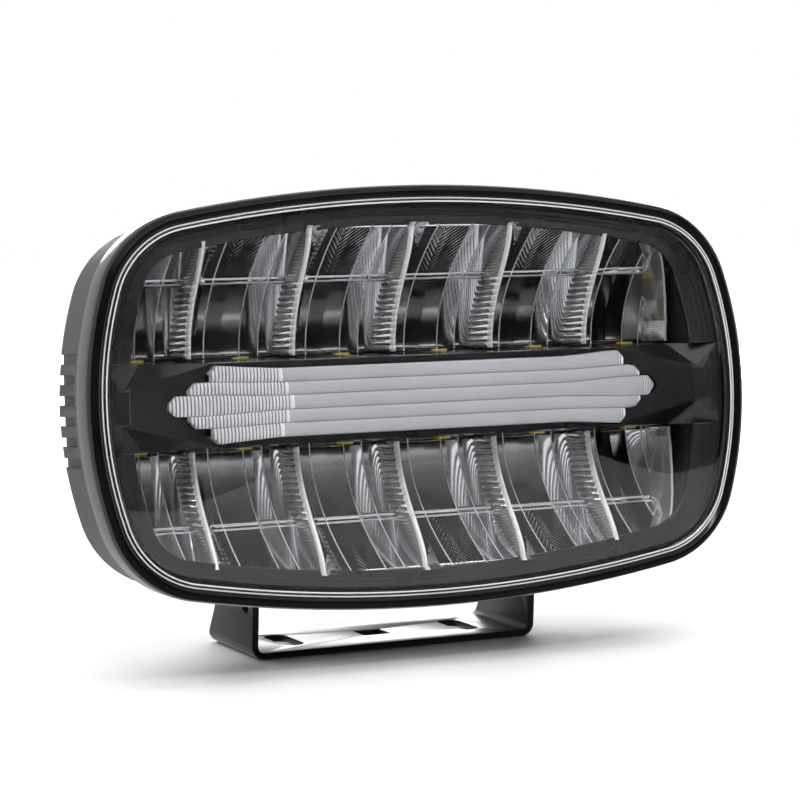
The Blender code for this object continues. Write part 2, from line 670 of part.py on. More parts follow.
def make_bracket():
    """U of bent sheet: base with a square hole and two slots, and two arms to the pivots."""
    half = BRACKET_HALF_WIDTH
    top = PIVOT_HEIGHT - SHEET + ARM_RADIUS
    inner = BEND_RADIUS - SHEET
    section = [(half, top + 5, 0), (-half, top + 5, 0), (-half, -SHEET, BEND_RADIUS),
               (half, -SHEET, BEND_RADIUS)]
    hollow = [(half - SHEET, top + 9, 0), (-half + SHEET, top + 9, 0),
              (-half + SHEET, 0, inner), (half - SHEET, 0, inner)]
    depth = BASE_HALF_DEPTH + 8
    bracket = slab("mounting_bracket", [rounded(section, 5)], -depth, depth, ALONG_Y, STEEL_BLACK)
    stand(bracket)
    inside = slab("bracket_inside", [rounded(hollow, 5)], -60, 60, ALONG_Y, collection=CUTTERS)
    boolean(bracket, stand(inside))
    pivot = (PIVOT_IN_BRACKET_Y, PIVOT_HEIGHT - SHEET)
    shape = slab("arm_shape", [arm_outline(pivot)], -90, 90, ALONG_X, collection=CUTTERS)
    boolean(bracket, stand(shape), "INTERSECT")
    half_hole = SQUARE_HOLE / 2
    hole = block("square_hole", (-half_hole, -half_hole, -10), (half_hole, half_hole, 10),
                 collection=CUTTERS)
    boolean(bracket, stand(hole))
    for name, x in (("slot_left", -SLOT_X), ("slot_right", SLOT_X)):
        radius = SLOT_WIDTH / 2
        straight = SLOT_LENGTH / 2 - radius
        ends = arc((x, straight), radius, 0, math.pi, 8)
        ends += arc((x, -straight), radius, math.pi, 2 * math.pi, 8)
        slot = slab(name, [ends], -10, 10, Matrix.Identity(4), collection=CUTTERS)
        boolean(bracket, stand(slot))
    bore = rod("pivot_holes", (0, *pivot), "X", BOLT_HOLE_RADIUS, -90, 90, collection=CUTTERS)
    boolean(bracket, stand(bore))
    bore = rod("spare_holes", (0, *SPARE_HOLE_AT), "X", SPARE_HOLE_RADIUS, -90, 90,
               collection=CUTTERS)
    boolean(bracket, stand(bore))


def make_pivot_hardware():
    """On each side a toothed ring between boss and arm, then washer, spring washer and bolt."""
    center = (0, PIVOT_Y, PIVOT_Z)
    inner = BRACKET_HALF_WIDTH - SHEET
    outer = BRACKET_HALF_WIDTH
    for side, word in ((-1, "left"), (1, "right")):
        def span(low, high):
            return sorted((side * low, side * high))
        hang(rod(f"{word}_tooth_washer", center, "X", 11.0, *span(BOSS_HALF_WIDTH + GAP, inner - GAP),
                 mat=ZINC, hole=BOLT_RADIUS + GAP))
        hang(rod(f"{word}_flat_washer", center, "X", 9.0, *span(outer + GAP, outer + GAP + 1.6),
                 mat=ZINC, hole=BOLT_RADIUS + GAP))
        hang(rod(f"{word}_spring_washer", center, "X", 7.2, *span(outer + 2.2, outer + 4.2),
                 mat=ZINC, hole=BOLT_RADIUS + GAP))
        bolt = rod(f"{word}_pivot_bolt", center, "X", 7.4, *span(outer + 4.5, outer + 9.8), sides=6,
                   mat=BLACK_STEEL)
        hang(bolt)
        shank = rod(f"{word}_bolt_shank", center, "X", BOLT_RADIUS, *span(50.0, outer + 5.5),
                    sides=20, collection=CUTTERS)
        boolean(bolt, hang(shank), "UNION")


def main():
    make_bezel()
    make_lens()
    make_gasket()
    make_mask()
    make_center_trim()
    make_light_bar()
    make_light_bar_board()
    make_reflector("upper_reflector", 1)
    make_reflector("lower_reflector", -1)
    make_led_row("upper", 1)
    make_led_row("lower", -1)
    make_heat_spreader()
    make_housing()
    make_gland()
    make_vent()
    make_driver()
    make_bracket()
    make_pivot_hardware()


main()
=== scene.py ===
"""Looks of the LED auxiliary driving lamp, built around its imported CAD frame.

The lamp's own pieces are made in the lamp frame, in millimetres: the origin is the middle of the
lamp's face, +X is to the right as the face is seen, +Y goes towards the back and +Z up. LAMP
takes that frame to the world. The bracket is made in BASE, whose origin is the middle of the
top of the bracket's base.
"""
import json
import math

import bpy
import bmesh
from mathutils import Matrix, Vector


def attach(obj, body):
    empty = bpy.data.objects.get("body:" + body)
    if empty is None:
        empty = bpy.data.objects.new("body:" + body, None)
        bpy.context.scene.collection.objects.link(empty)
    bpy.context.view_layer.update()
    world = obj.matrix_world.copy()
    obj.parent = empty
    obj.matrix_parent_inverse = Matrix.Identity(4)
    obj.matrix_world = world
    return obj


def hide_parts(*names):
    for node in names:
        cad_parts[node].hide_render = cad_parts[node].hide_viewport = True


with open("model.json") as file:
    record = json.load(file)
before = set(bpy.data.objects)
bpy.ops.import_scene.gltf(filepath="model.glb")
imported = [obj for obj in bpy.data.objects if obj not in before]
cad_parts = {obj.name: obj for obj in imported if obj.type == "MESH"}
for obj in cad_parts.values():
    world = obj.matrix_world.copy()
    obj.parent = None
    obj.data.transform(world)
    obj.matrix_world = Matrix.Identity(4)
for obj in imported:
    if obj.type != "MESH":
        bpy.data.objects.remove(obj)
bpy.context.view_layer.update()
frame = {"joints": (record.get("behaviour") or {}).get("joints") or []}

MM = 0.001
TILT = next(joint for joint in frame["joints"] if joint["name"] == "tilt")
PIVOT = Vector(TILT["pos_m"])

# ---- sizes that the CAD model also uses, in millimetres and degrees ----
REST_TILT = 4.4
PIVOT_IN_LAMP = Vector((0, 67.9, -61.3))
HALF_WIDTH, HALF_HEIGHT = 160.0, 93.2
TOP_RADIUS, SIDE_RADIUS, CORNER_RADIUS = 654.0, 171.0, 45.3
MASK_OPENING = (138.4, 76.3, 616.0, 167.0, 20.0)
SKIRT_BACK = 17.5
SIDE_INSET = 4.0
REAR_Y, REAR_ROUND = 59.0, 9.0
BOSS_HALF_WIDTH, BOSS_BOTTOM, BOSS_TOP, BOSS_Y = 66.2, -80.0, 50.0, 86.0
FIN_Y, FIN_COUNT, FIN_PITCH, FIN_BOTTOM = 98.0, 9, 14.55, -38.0
GROOVES, GROOVE_PITCH, GROOVE_HEIGHT = 6, 8.95, 4.0
CELL_PITCH = 49.16
RIBS = [k * CELL_PITCH for k in range(-2, 3)]
END_WALL_X = 137.2
SHELF_Z = 20.3
BAR_LEVELS = (4.5, 9.9, 17.0)       # strip edges at the ends of the light bar
BAR_MIDDLE = (3.1, 8.9, 14.9)       # the same in its straight middle
BAR_LENGTHS = (120.3, 111.5, 102.0)
BAR_CHAMFER = 3.6
REFLECTOR_BACK, REFLECTOR_CURVE, REFLECTOR_TOP = 52.0, 73.0, 76.0
SEAM_HEIGHT = 33.2
RIB_LEFT = 5.4                # wall of a rib, left of its middle
BRACKET_HALF_WIDTH, SHEET, BEND_RADIUS, BASE_HALF_DEPTH = 71.3, 3.0, 6.0, 27.0
ARM_RADIUS = 15.0
PIVOT_IN_BASE = (-6.0, 50.0)
SQUARE_HOLE = 13.5
SLOT_X, SLOT_WIDTH, SLOT_LENGTH = 44.8, 11.0, 30.0
GLAND = (-30.0, -58.0)
VENT = (30.0, -58.0)

LAMP = (Matrix.Translation(PIVOT) @ Matrix.Rotation(-math.radians(REST_TILT), 4, "X")
        @ Matrix.Translation(-PIVOT_IN_LAMP * MM))
BASE = Matrix.Translation(PIVOT - Vector((0, PIVOT_IN_BASE[0], PIVOT_IN_BASE[1])) * MM)

# ---- outlines ----


def arc(center, radius, start, end, steps):
    """Points on an arc, angles in radians, both ends included."""
    points = []
    for i in range(steps + 1):
        angle = start + (end - start) * i / steps
        points.append((center[0] + radius * math.cos(angle), center[1] + radius * math.sin(angle)))
    return points


def face_outline(half_width, half_height, top_radius, side_radius, corner_radius,
                 steps=(12, 22, 8)):
    """Closed outline in (x, z) of three tangent arcs a quarter: top, corner and side."""
    top_center = Vector((0, half_height - top_radius))
    side_center = Vector((half_width - side_radius, 0))
    reach_top = top_radius - corner_radius
    reach_side = side_radius - corner_radius
    between = side_center - top_center
    along = (reach_top**2 - reach_side**2 + between.length**2) / (2 * between.length)
    across = math.sqrt(reach_top**2 - along**2)
    unit = between.normalized()
    corner = top_center + unit * along + Vector((unit.y, -unit.x)) * across
    top_end = math.atan2(*(corner - top_center).yx)
    side_end = math.atan2(*(corner - side_center).yx)
    quarter = arc(side_center, side_radius, 0, side_end, steps[2])
    quarter += arc(corner, corner_radius, side_end, top_end, steps[1])[1:]
    quarter += arc(top_center, top_radius, top_end, math.pi / 2, steps[0])[1:]
    upper = quarter + [(-x, z) for x, z in reversed(quarter)][1:]
    return upper + [(x, -z) for x, z in reversed(upper)][1:-1]


def rim(inset):
    """The lamp's own outline, moved inwards."""
    return face_outline(HALF_WIDTH - inset, HALF_HEIGHT - inset, TOP_RADIUS - inset,
                        SIDE_RADIUS - inset, CORNER_RADIUS - inset)


def opening(grow):
    """Outline of the mask's opening, moved outwards."""
    return face_outline(MASK_OPENING[0] + grow, MASK_OPENING[1] + grow,
                        *[radius + grow for radius in MASK_OPENING[2:]])


def rounded(corners, steps=6):
    """Polygon whose corners (x, y, radius) are rounded with arcs."""
    points = []
    count = len(corners)
    for i, (x, y, radius) in enumerate(corners):
        here = Vector((x, y))
        if radius == 0:
            points.append((x, y))
            continue
        before = (Vector(corners[i - 1][:2]) - here).normalized()
        after = (Vector(corners[(i + 1) % count][:2]) - here).normalized()
        half = before.angle(after) / 2
        middle = here + (before + after).normalized() * radius / math.sin(half)
        first = here + before * radius / math.tan(half) - middle
        last = here + after * radius / math.tan(half) - middle
        start = math.atan2(first.y, first.x)
        sweep = (math.atan2(last.y, last.x) - start + math.pi) % (2 * math.pi) - math.pi
        points += arc(middle, radius, start, start + sweep, steps)
    return points


def smoothstep(low, high, value):
    t = min(max((value - low) / (high - low), 0), 1)
    return t * t * (3 - 2 * t)


# ---- meshes ----


def finish_mesh(name, bm, mats, sharp=35, recalc=True):
    """Turns a bmesh into a linked object, smooth except over edges sharper than an angle."""
    bm.normal_update()
    if recalc:
        bmesh.ops.recalc_face_normals(bm, faces=bm.faces)
    mesh = bpy.data.meshes.new(name)
    bm.to_mesh(mesh)
    bm.free()
    for mat in mats:
        mesh.materials.append(mat)
    mesh.shade_smooth()
    mesh.set_sharp_from_angle(angle=math.radians(sharp))
    obj = bpy.data.objects.new(name, mesh)
    bpy.context.scene.collection.objects.link(obj)
    return obj


def loft(name, loops, mats=(), ring=False, sharp=35, paint=None):
    """Skin through loops of equal length (x, y, z): closed on itself when ring, else capped.

    paint(row, column) gives the material index of a face.
    """
    bm = bmesh.new()
    rows = [[bm.verts.new(Vector(point) * MM) for point in loop] for loop in loops]
    count = len(rows[0])
    pairs = list(zip(rows, rows[1:]))
    if ring:
        pairs.append((rows[-1], rows[0]))
    else:
        bm.faces.new(rows[0])
        bm.faces.new(list(reversed(rows[-1])))
    for r, (lower, upper) in enumerate(pairs):
        for i in range(count):
            j = (i + 1) % count
            face = bm.faces.new((lower[j], lower[i], upper[i], upper[j]))
            if paint:
                face.material_index = paint(r, i)
    return finish_mesh(name, bm, mats, sharp)


def sheet(name, rows, mats=(), sharp=35, paint=None):
    """Open surface through rows of points (x, y, z)."""
    bm = bmesh.new()
    grid = [[bm.verts.new(Vector(point) * MM) for point in row] for row in rows]
    for r, (lower, upper) in enumerate(zip(grid, grid[1:])):
        for i in range(len(lower) - 1):
            face = bm.faces.new((lower[i], lower[i + 1], upper[i + 1], upper[i]))
            if paint:
                face.material_index = paint(r, i)
    return finish_mesh(name, bm, mats, sharp, recalc=False)


def rim_loft(name, profile, mats=(), ring=False, sharp=35, paint=None):
    """Loft whose loops are the lamp's outline at (inset, y)."""
    loops = [[(x, y, z) for x, z in rim(inset)] for inset, y in profile]
    return loft(name, loops, mats, ring, sharp, paint)


def prism(name, outline, low, high, axis, mats=(), sharp=35):
    """Outline extruded from low to high: in (y, z) along X, (x, z) along Y or (x, y) along Z."""
    places = {"X": lambda u, v, w: (w, u, v), "Y": lambda u, v, w: (u, w, v),
              "Z": lambda u, v, w: (u, v, w)}
    put = places[axis]
    return loft(name, [[put(u, v, w) for u, v in outline] for w in (low, high)], mats, False, sharp)


def turned(name, center, axis, profile, mats=(), sides=48, sharp=35, paint=None, radius=None):
    """Solid of revolution through (radius, along), closed on itself.

    radius(angle, r) may bend it.
    """
    loops = []
    for r, along in profile:
        loop = []
        for i in range(sides):
            angle = 2 * math.pi * i / sides
            reach = radius(angle, r) if radius else r
            u, v = reach * math.cos(angle), reach * math.sin(angle)
            offset = (along, u, v) if axis == "X" else (u, along, v)
            loop.append([a + b for a, b in zip(center, offset)])
        loops.append(loop)
    return loft(name, loops, mats, True, sharp, paint)


def apply_modifiers(obj):
    """Replaces the mesh by its evaluated copy."""
    graph = bpy.context.evaluated_depsgraph_get()
    mesh = bpy.data.meshes.new_from_object(obj.evaluated_get(graph))
    old = obj.data
    obj.modifiers.clear()
    obj.data = mesh
    bpy.data.meshes.remove(old)
    return obj


def boolean(obj, tools, operation="DIFFERENCE"):
    """Cuts or joins with each tool, then removes the tools."""
    for tool in tools:
        mod = obj.modifiers.new(tool.name, "BOOLEAN")
        mod.object = tool
        mod.operation = operation
        mod.solver = "EXACT"
    apply_modifiers(obj)
    for tool in tools:
        bpy.data.objects.remove(tool, do_unlink=True)
    return obj


def triangulate(obj):
    """Splits every face into triangles, so that bent faces cut cleanly."""
    bm = bmesh.new()
    bm.from_mesh(obj.data)
    bmesh.ops.triangulate(bm, faces=bm.faces)
    bm.to_mesh(obj.data)
    bm.free()


def soften(obj, width, segments=2, angle=40):
    """Bevels the sharp edges and evens the shading."""
    mod = obj.modifiers.new("soft_edges", "BEVEL")
    mod.width = width * MM
    mod.segments = segments
    mod.limit_method = "ANGLE"
    mod.angle_limit = math.radians(angle)
    mod.harden_normals = True
    apply_modifiers(obj)
    obj.data.shade_smooth()
    obj.data.set_sharp_from_angle(angle=math.radians(angle))
    return obj


def place(obj, matrix, body, nodes=()):
    """Bakes the frame's matrix into the piece and hands it to its body."""
    obj.data.transform(matrix)
    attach(obj, body)
    if nodes:
        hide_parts(*nodes)
    return obj


def on_lamp(obj, nodes=()):
    """Places a piece made in the lamp frame."""
    return place(obj, LAMP, "lamp", nodes)


# ---- materials ----


def principled(name, color, roughness, metallic=0.0, **sockets):
    """Plain Principled material; other sockets are given by name."""
    mat = bpy.data.materials.new(name)
    mat.use_nodes = True
    shader = mat.node_tree.nodes["Principled BSDF"]
    shader.inputs["Base Color"].default_value = (*color, 1)
    shader.inputs["Roughness"].default_value = roughness
    shader.inputs["Metallic"].default_value = metallic
    for socket, value in sockets.items():
        shader.inputs[socket].default_value = value
    return mat


def link(mat, source, target):
    mat.node_tree.links.new(source, target)


def noise(mat, scale, detail):
    """Noise over the object's own coordinates; scale is in features a metre."""
    coordinates = mat.node_tree.nodes.new("ShaderNodeTexCoord")
    made = mat.node_tree.nodes.new("ShaderNodeTexNoise")
    made.inputs["Scale"].default_value = scale
    made.inputs["Detail"].default_value = detail
    link(mat, coordinates.outputs["Object"], made.inputs["Vector"])
    return made.outputs["Fac"]


def ramp(mat, source, low, high):
    """Colour between low and high over the middle of the noise's range."""
    made = mat.node_tree.nodes.new("ShaderNodeValToRGB")
    first, last = made.color_ramp.elements
    first.position, last.position = 0.35, 0.65
    first.color, last.color = (*low, 1), (*high, 1)
    link(mat, source, made.inputs["Fac"])
    return made.outputs["Color"]


def vary_roughness(mat, source, low, high):
    """Roughness between low and high, after the noise."""
    made = mat.node_tree.nodes.new("ShaderNodeMapRange")
    made.inputs["From Min"].default_value = 0.3
    made.inputs["From Max"].default_value = 0.7
    made.inputs["To Min"].default_value = low
    made.inputs["To Max"].default_value = high
    link(mat, source, made.inputs["Value"])
    link(mat, made.outputs["Result"], mat.node_tree.nodes["Principled BSDF"].inputs["Roughness"])


def add_bump(mat, source, height_mm):
    """Fine relief, after the noise."""
    made = mat.node_tree.nodes.new("ShaderNodeBump")
    made.inputs["Distance"].default_value = height_mm * MM
    link(mat, source, made.inputs["Height"])
    link(mat, made.outputs["Normal"], mat.node_tree.nodes["Principled BSDF"].inputs["Normal"])


def moulded(name, color, roughness, grain_mm, depth_mm, spread=0.25, **sockets):
    """Plastic or coated surface: fine grain, slightly uneven gloss and colour."""
    mat = principled(name, color, roughness, **sockets)
    broad = noise(mat, 25, 4)
    fine = noise(mat, 1000 / grain_mm, 2)
    shader = mat.node_tree.nodes["Principled BSDF"]
    dark = [c * (1 - spread) for c in color]
    light = [c * (1 + spread) for c in color]
    link(mat, ramp(mat, broad, dark, light), shader.inputs["Base Color"])
    vary_roughness(mat, broad, roughness * 0.85, roughness * 1.2)
    add_bump(mat, fine, depth_mm)
    return mat


def metal(name, color, roughness, grain_mm=0.6, depth_mm=0.004, spread=0.12):
    return moulded(name, color, roughness, grain_mm, depth_mm, spread, metallic=1.0)


GLOSS_BLACK = moulded("gloss_black", (0.006, 0.006, 0.0065), 0.14, 3.0, 0.001)
SATIN_BLACK = moulded("satin_black", (0.010, 0.010, 0.0105), 0.28, 0.5, 0.003)
MASK_BLACK = moulded("mask_black", (0.014, 0.014, 0.0145), 0.28, 0.8, 0.003)
CAST = moulded("cast_coat", (0.05, 0.0505, 0.052), 0.42, 0.45, 0.03, 0.15)
POWDER = moulded("powder_coat", (0.022, 0.022, 0.023), 0.36, 0.5, 0.02, 0.15)
CHROME = metal("vacuum_metallising", (0.83, 0.84, 0.86), 0.07, 2.0, 0.004, 0.05)
FLUTE_CHROME = moulded("metallised_flutes", (0.93, 0.93, 0.94), 0.2, 1.0, 0.003, 0.05,
                       metallic=0.85)
# Near-white, mostly diffuse finish that is a painted highlight: it gives the bright lines of the
# beads round the lens, the reflector's creases and ledges, and the front edges of the ribs and end
# walls.
PAINTED_HIGHLIGHT = moulded("painted_highlight_edge", (0.97, 0.97, 0.98), 0.3, 1.0, 0.003, 0.03,
                      metallic=0.2)
DIFFUSER = moulded("milky_diffuser", (0.5, 0.51, 0.54), 0.38, 0.8, 0.004, 0.04)
# Painted highlight and painted shade for the light bar's prisms: bright stripes on their wider
# faces, dark ones on the narrow faces.
PRISM_HIGHLIGHT = moulded("prism_painted_highlight", (0.95, 0.95, 0.97), 0.3, 0.8, 0.003, 0.04)
PRISM_SHADE = moulded("prism_painted_shade", (0.2, 0.2, 0.23), 0.35, 0.8, 0.003, 0.04)
RUBBER = moulded("silicone", (0.02, 0.02, 0.02), 0.75, 0.4, 0.01)
BOARD = moulded("white_solder_mask", (0.7, 0.7, 0.68), 0.45, 0.6, 0.004, 0.05)
BLACK_BOARD = moulded("black_solder_mask", (0.01, 0.01, 0.011), 0.35, 0.6, 0.004, 0.1)
GREEN = moulded("green_solder_mask", (0.02, 0.14, 0.06), 0.4, 0.6, 0.004, 0.1)
CERAMIC = moulded("led_ceramic", (0.75, 0.75, 0.72), 0.5, 0.5, 0.003, 0.05)
PHOSPHOR = moulded("led_phosphor", (0.85, 0.66, 0.1), 0.45, 0.4, 0.003, 0.08)
ALUMINIUM = metal("bare_aluminium", (0.6, 0.61, 0.62), 0.35)
ZINC = metal("zinc_plate", (0.62, 0.63, 0.64), 0.28)
BLACK_STEEL = metal("black_oxide", (0.05, 0.05, 0.052), 0.38)
FERRITE = moulded("ferrite", (0.06, 0.06, 0.065), 0.7, 0.4, 0.01)
SLEEVE = moulded("capacitor_sleeve", (0.05, 0.07, 0.16), 0.35, 1.0, 0.002)
LENS = principled("clear_polycarbonate", (0.99, 0.99, 0.995), 0.015,
                  **{"IOR": 1.49, "Transmission Weight": 1.0})


# ---- front bezel, lens and mask ----


def make_bezel():
    """Black ring: skirt, rounded front and the lip that holds the lens."""
    section = [(0, 1.6, 0.4), (0, 4, 1.0), (0.6, SKIRT_BACK, 0.5), (3.0, SKIRT_BACK, 0.3),
               (3.0, 1.4, 0), (6.2, 1.4, 0.3), (6.2, -0.9, 0.35), (4.1, -2.6, 0.6),
               (2.8, -2.9, 0.5), (0.7, -1.0, 0.9)]
    on_lamp(rim_loft("bezel", rounded(section, 4), [GLOSS_BLACK], ring=True), ["front_bezel"])


LENS_EDGE = 6.6           # inset where the dome begins
DEEPEST_RIM = 42          # beyond this inset the lamp's outline would cross itself
OUTER_DOME = (-1.6, 3.6)  # y at the edge, and how far the middle stands out
INNER_DOME = (1.4, 3.4)


def dome(inset, surface):
    """Depth of one surface of the domed lens at an inset from the outline."""
    edge_y, rise = surface
    depth = (inset - LENS_EDGE) / (HALF_HEIGHT - LENS_EDGE)
    return edge_y - rise * (1 - (1 - depth) ** 2)


def dome_loop(inset, surface):
    """One loop of the dome; beyond the deepest rim the outline shrinks towards the middle."""
    scale = min(1, (HALF_HEIGHT - inset) / (HALF_HEIGHT - DEEPEST_RIM))
    y = dome(inset, surface)
    return [(x * scale, y, z * scale) for x, z in rim(min(inset, DEEPEST_RIM))]


def make_lens():
    """Clear cover with a small step round its edge and a shallow dome."""
    edge = rounded([(6.55, 1.7, 0), (6.55, -2.0, 0.35), (7.5, -2.2, 0.3), (8.1, -1.75, 0.2),
                    (10, dome(10, OUTER_DOME), 0)], 4)
    flange = [(3.5, 1.7), (3.5, 4.1), (9.8, 4.1)]
    insets = (13, 18, 24, 30, 36, 42, 50, 58, 66, 74, 82, 90)
    loops = [dome_loop(inset, OUTER_DOME) for inset in reversed(insets)]
    for inset, y in list(reversed(edge)) + flange:
        loops.append([(x, y, z) for x, z in rim(inset)])
    loops += [dome_loop(inset, INNER_DOME) for inset in (10.2,) + insets]
    lens = loft("lens_cover", loops, [LENS])
    lens.visible_shadow = False
    on_lamp(lens, ["front_lens"])


def make_highlight_beads():
    """Two fine beads of painted highlight: on the bezel's inner edge and on the step of the lens.
    """
    for name, inset, y, node in (("bezel_highlight_bead", 6.0, -1.35, "front_bezel"),
                                 ("lens_highlight_bead", 7.55, -2.15, "front_lens")):
        section = arc((inset, y), 0.34, 0, 2 * math.pi, 10)[:-1]
        # the bead's near-white colour is a painted highlight
        on_lamp(rim_loft(name, section, [PAINTED_HIGHLIGHT], ring=True, sharp=60), [node])


# corners (x, y, z) of the facets at the ends of the centre bar
FACET_TIP = (141.0, 9.3, 7.7)
FACET_SHELF = (130.0, 20.0, 18.9)
FACET_RIM = (150.5, 7.2, 18.8)


def make_mask():
    """Black frame with faint terraces, and a notch at each end of the centre bar."""
    outer = rim(8.0)
    inner = opening(0)
    terraces = [(0.0, 7.2), (0.16, 7.2), (0.18, 7.55), (0.36, 7.7), (0.38, 8.05), (0.56, 8.2),
                (0.58, 8.5), (0.96, 9.0), (1.0, 9.35), (1.0, 11.0), (0.9, 11.2), (0.0, 9.0)]
    loops = []
    for t, y in terraces:
        loops.append([(a[0] + (b[0] - a[0]) * t, y, a[1] + (b[1] - a[1]) * t)
                      for a, b in zip(outer, inner)])
    mask = loft("mask", loops, [MASK_BLACK], ring=True, sharp=25)
    notches = []
    for sx in (-1, 1):
        for sz in (-1, 1):
            corners = [(FACET_TIP[0] * sx, FACET_TIP[2] * sz), (110 * sx, 18.8 * sz),
                       (FACET_RIM[0] * sx, FACET_RIM[2] * sz)]
            notches.append(prism(f"notch_{sx}_{sz}", corners, 0, 30, "Y"))
    on_lamp(boolean(mask, notches), ["inner_mask"])


def trim_face(x):
    """Depth of the centre bar's face, which comes forward at both ends to meet the mask."""
    return 14 - 4.9 * max((abs(x) - 112) / 29, 0) ** 1.5


def between(a, b, x):
    """Point (y, z) on the line from a to b at x."""
    t = (x - a[0]) / (b[0] - a[0])
    return a[1] + (b[1] - a[1]) * t, a[2] + (b[2] - a[2]) * t


def trim_section(x):
    """Upper half of the centre bar's skin at x, from the deck down to the face, as (y, z)."""
    start = (98.0, 14.0, 18.1)
    away = abs(x)
    if away <= 98:
        points = [(15.2, 18.25), (14.35, 18.1), (14.0, 17.75)]
    elif away <= FACET_SHELF[0]:
        shelf = between(start, FACET_SHELF, away)
        edge = (trim_face(x), between(start, FACET_TIP, away)[1])
        middle = ((shelf[0] + edge[0]) / 2, (shelf[1] + edge[1]) / 2)
        points = [shelf, middle, edge]
    elif away <= FACET_TIP[0]:
        points = [between(FACET_SHELF, FACET_RIM, away), between(FACET_SHELF, FACET_TIP, away),
                  (trim_face(x), between(start, FACET_TIP, away)[1])]
    else:
        y, z = between(FACET_TIP, FACET_RIM, away)
        points = [between(FACET_SHELF, FACET_RIM, away), (y, z), (y, z - 0.3)]
    face_y, face_z = points[-1]
    return [(42.0, 19.85), (28.0, 19.0)] + points + [(face_y, face_z * 0.4)]


def make_center_trim():
    """Bar over the LED boards: glossy decks, a face with a stepped window, and faceted ends."""
    half = [0, 30, 60, 88, 97.9, 98.1, 104, 110, 113, 116, 119, 122, 125, 127.5, 129.95, 130.05,
            132.5, 135, 137.5, 140.95, 141.05, 144, 147, 150.4]
    stations = [-x for x in reversed(half[1:])] + half
    loops = []
    for x in stations:
        upper = trim_section(x)
        front = upper + [(y, -z) for y, z in reversed(upper)]
        back = [(min(y + 1.6, 42), z * 0.93) for y, z in reversed(front)]
        loops.append([(x, y, z) for y, z in front + back])
    trim = loft("trim", loops, [SATIN_BLACK, GLOSS_BLACK], sharp=12,
                paint=lambda r, i: 1 if i in (0, 1, 9, 10) else 0)
    triangulate(trim)
    window = prism("trim_window", bar_outline(0.35), -5, 36, "Y")
    boolean(trim, [window])
    trim.data.set_sharp_from_angle(angle=math.radians(12))
    on_lamp(trim, ["center_trim"])


# ---- light bar ----


def flare(x):
    """0 in the light bar's straight middle, 1 towards its ends."""
    return min(max((abs(x) - 70) / 30, 0), 1) ** 1.2


def bar_level(index, x):
    """Half-height of a strip's outer edge at x."""
    return BAR_MIDDLE[index] + (BAR_LEVELS[index] - BAR_MIDDLE[index]) * flare(x)


def bar_outline(grow):
    """Stepped outline of the light bar in (x, z)."""
    quarter = []
    below = None
    for length, height in zip(BAR_LENGTHS, BAR_LEVELS):
        if below is not None:
            quarter.append((length + grow, below + grow))
        quarter += [(length + grow, height + grow - BAR_CHAMFER),
                    (length + grow - BAR_CHAMFER, height + grow)]
        below = height
    quarter += [(x, bar_level(2, x) + grow) for x in (95, 90, 85, 80, 75, 70)]
    upper = quarter + [(-x, z) for x, z in reversed(quarter)]
    return upper + [(x, -z) for x, z in reversed(upper)]


def bar_front(x):
    """Front of the light bar: flat in the middle, its ends swept back."""
    return 7.0 + max(abs(x) - 72, 0) ** 2 / 300


PRISM_PITCH = 1.55
PRISM_END = (-64.4, -67.0, -69.6)   # where the prisms of each strip stop, centre strip first
PRISM_RIGHT = (113.2, 108.3, 98.6)  # and where a few start again at the right end


def strip_range(index, x, side):
    """Lower and upper edge of a strip at x, its tip chamfered."""
    top = bar_level(index, x)
    cut = BAR_LENGTHS[index] - BAR_CHAMFER
    if abs(x) > cut:
        top -= abs(x) - cut
    low = bar_level(index - 1, x) if index else 0.0
    if index == 0:
        return -top, top
    return (low, top) if side > 0 else (-top, -low)


def strip_stations(index):
    """Where a strip has cross-sections, left to right, and how deep each lies below its face."""
    reach = BAR_LENGTHS[index]
    edge = reach - 0.55
    stations = [(-reach, 1.2), (-edge, 0.0)]
    x = -edge
    while x + PRISM_PITCH < PRISM_END[index]:
        stations += [(x + 0.12, 0.0), (x + 0.5, 0.55), (x + 0.66, 0.55), (x + 1.45, 0.0)]
        x += PRISM_PITCH
    x = PRISM_END[index]
    while x < PRISM_RIGHT[index] - 2:
        stations.append((x, 0.0))
        x += 2.6
    x = PRISM_RIGHT[index]
    while x + PRISM_PITCH * 0.7 < edge:
        stations += [(x + step, 0.0) for step in (0, 0.3, 0.42, 0.95)]
        x += PRISM_PITCH * 0.7
    return stations + [(edge, 0.0), (reach, 1.2)]


def make_strip(name, index, side):
    """One milky strip: smooth in the middle, cut into upright prisms at the ends, striped with
    painted highlight and shade.
    """
    stations = strip_stations(index)
    bulge = 0.35
    rows = []
    for x, dip in stations:
        low, high = strip_range(index, x, side)
        front = bar_front(x) + dip
        row = [(x, front + 9, low), (x, front + 0.9, low), (x, front + 0.25, low + 0.16)]
        for t in (0.2, 0.4, 0.6, 0.8):
            z = low + (high - low) * t
            row.append((x, front - bulge * 4 * t * (1 - t), z))
        row += [(x, front + 0.25, high - 0.16), (x, front + 0.9, high), (x, front + 9, high)]
        rows.append(row)

    def paint(r, i):
        left, right = stations[r][0], stations[r + 1][0]
        x = (left + right) / 2
        if i in (0, 1, 7, 8) or r in (0, len(stations) - 2):
            return 0
        if PRISM_END[index] - 0.2 <= x <= PRISM_RIGHT[index]:
            return 0
        # the wider face of each prism gets the painted highlight, the narrow ones painted shade
        return 1 if right - left > 0.5 else 2

    return sheet(name, rows, [DIFFUSER, PRISM_HIGHLIGHT, PRISM_SHADE], 30, paint)


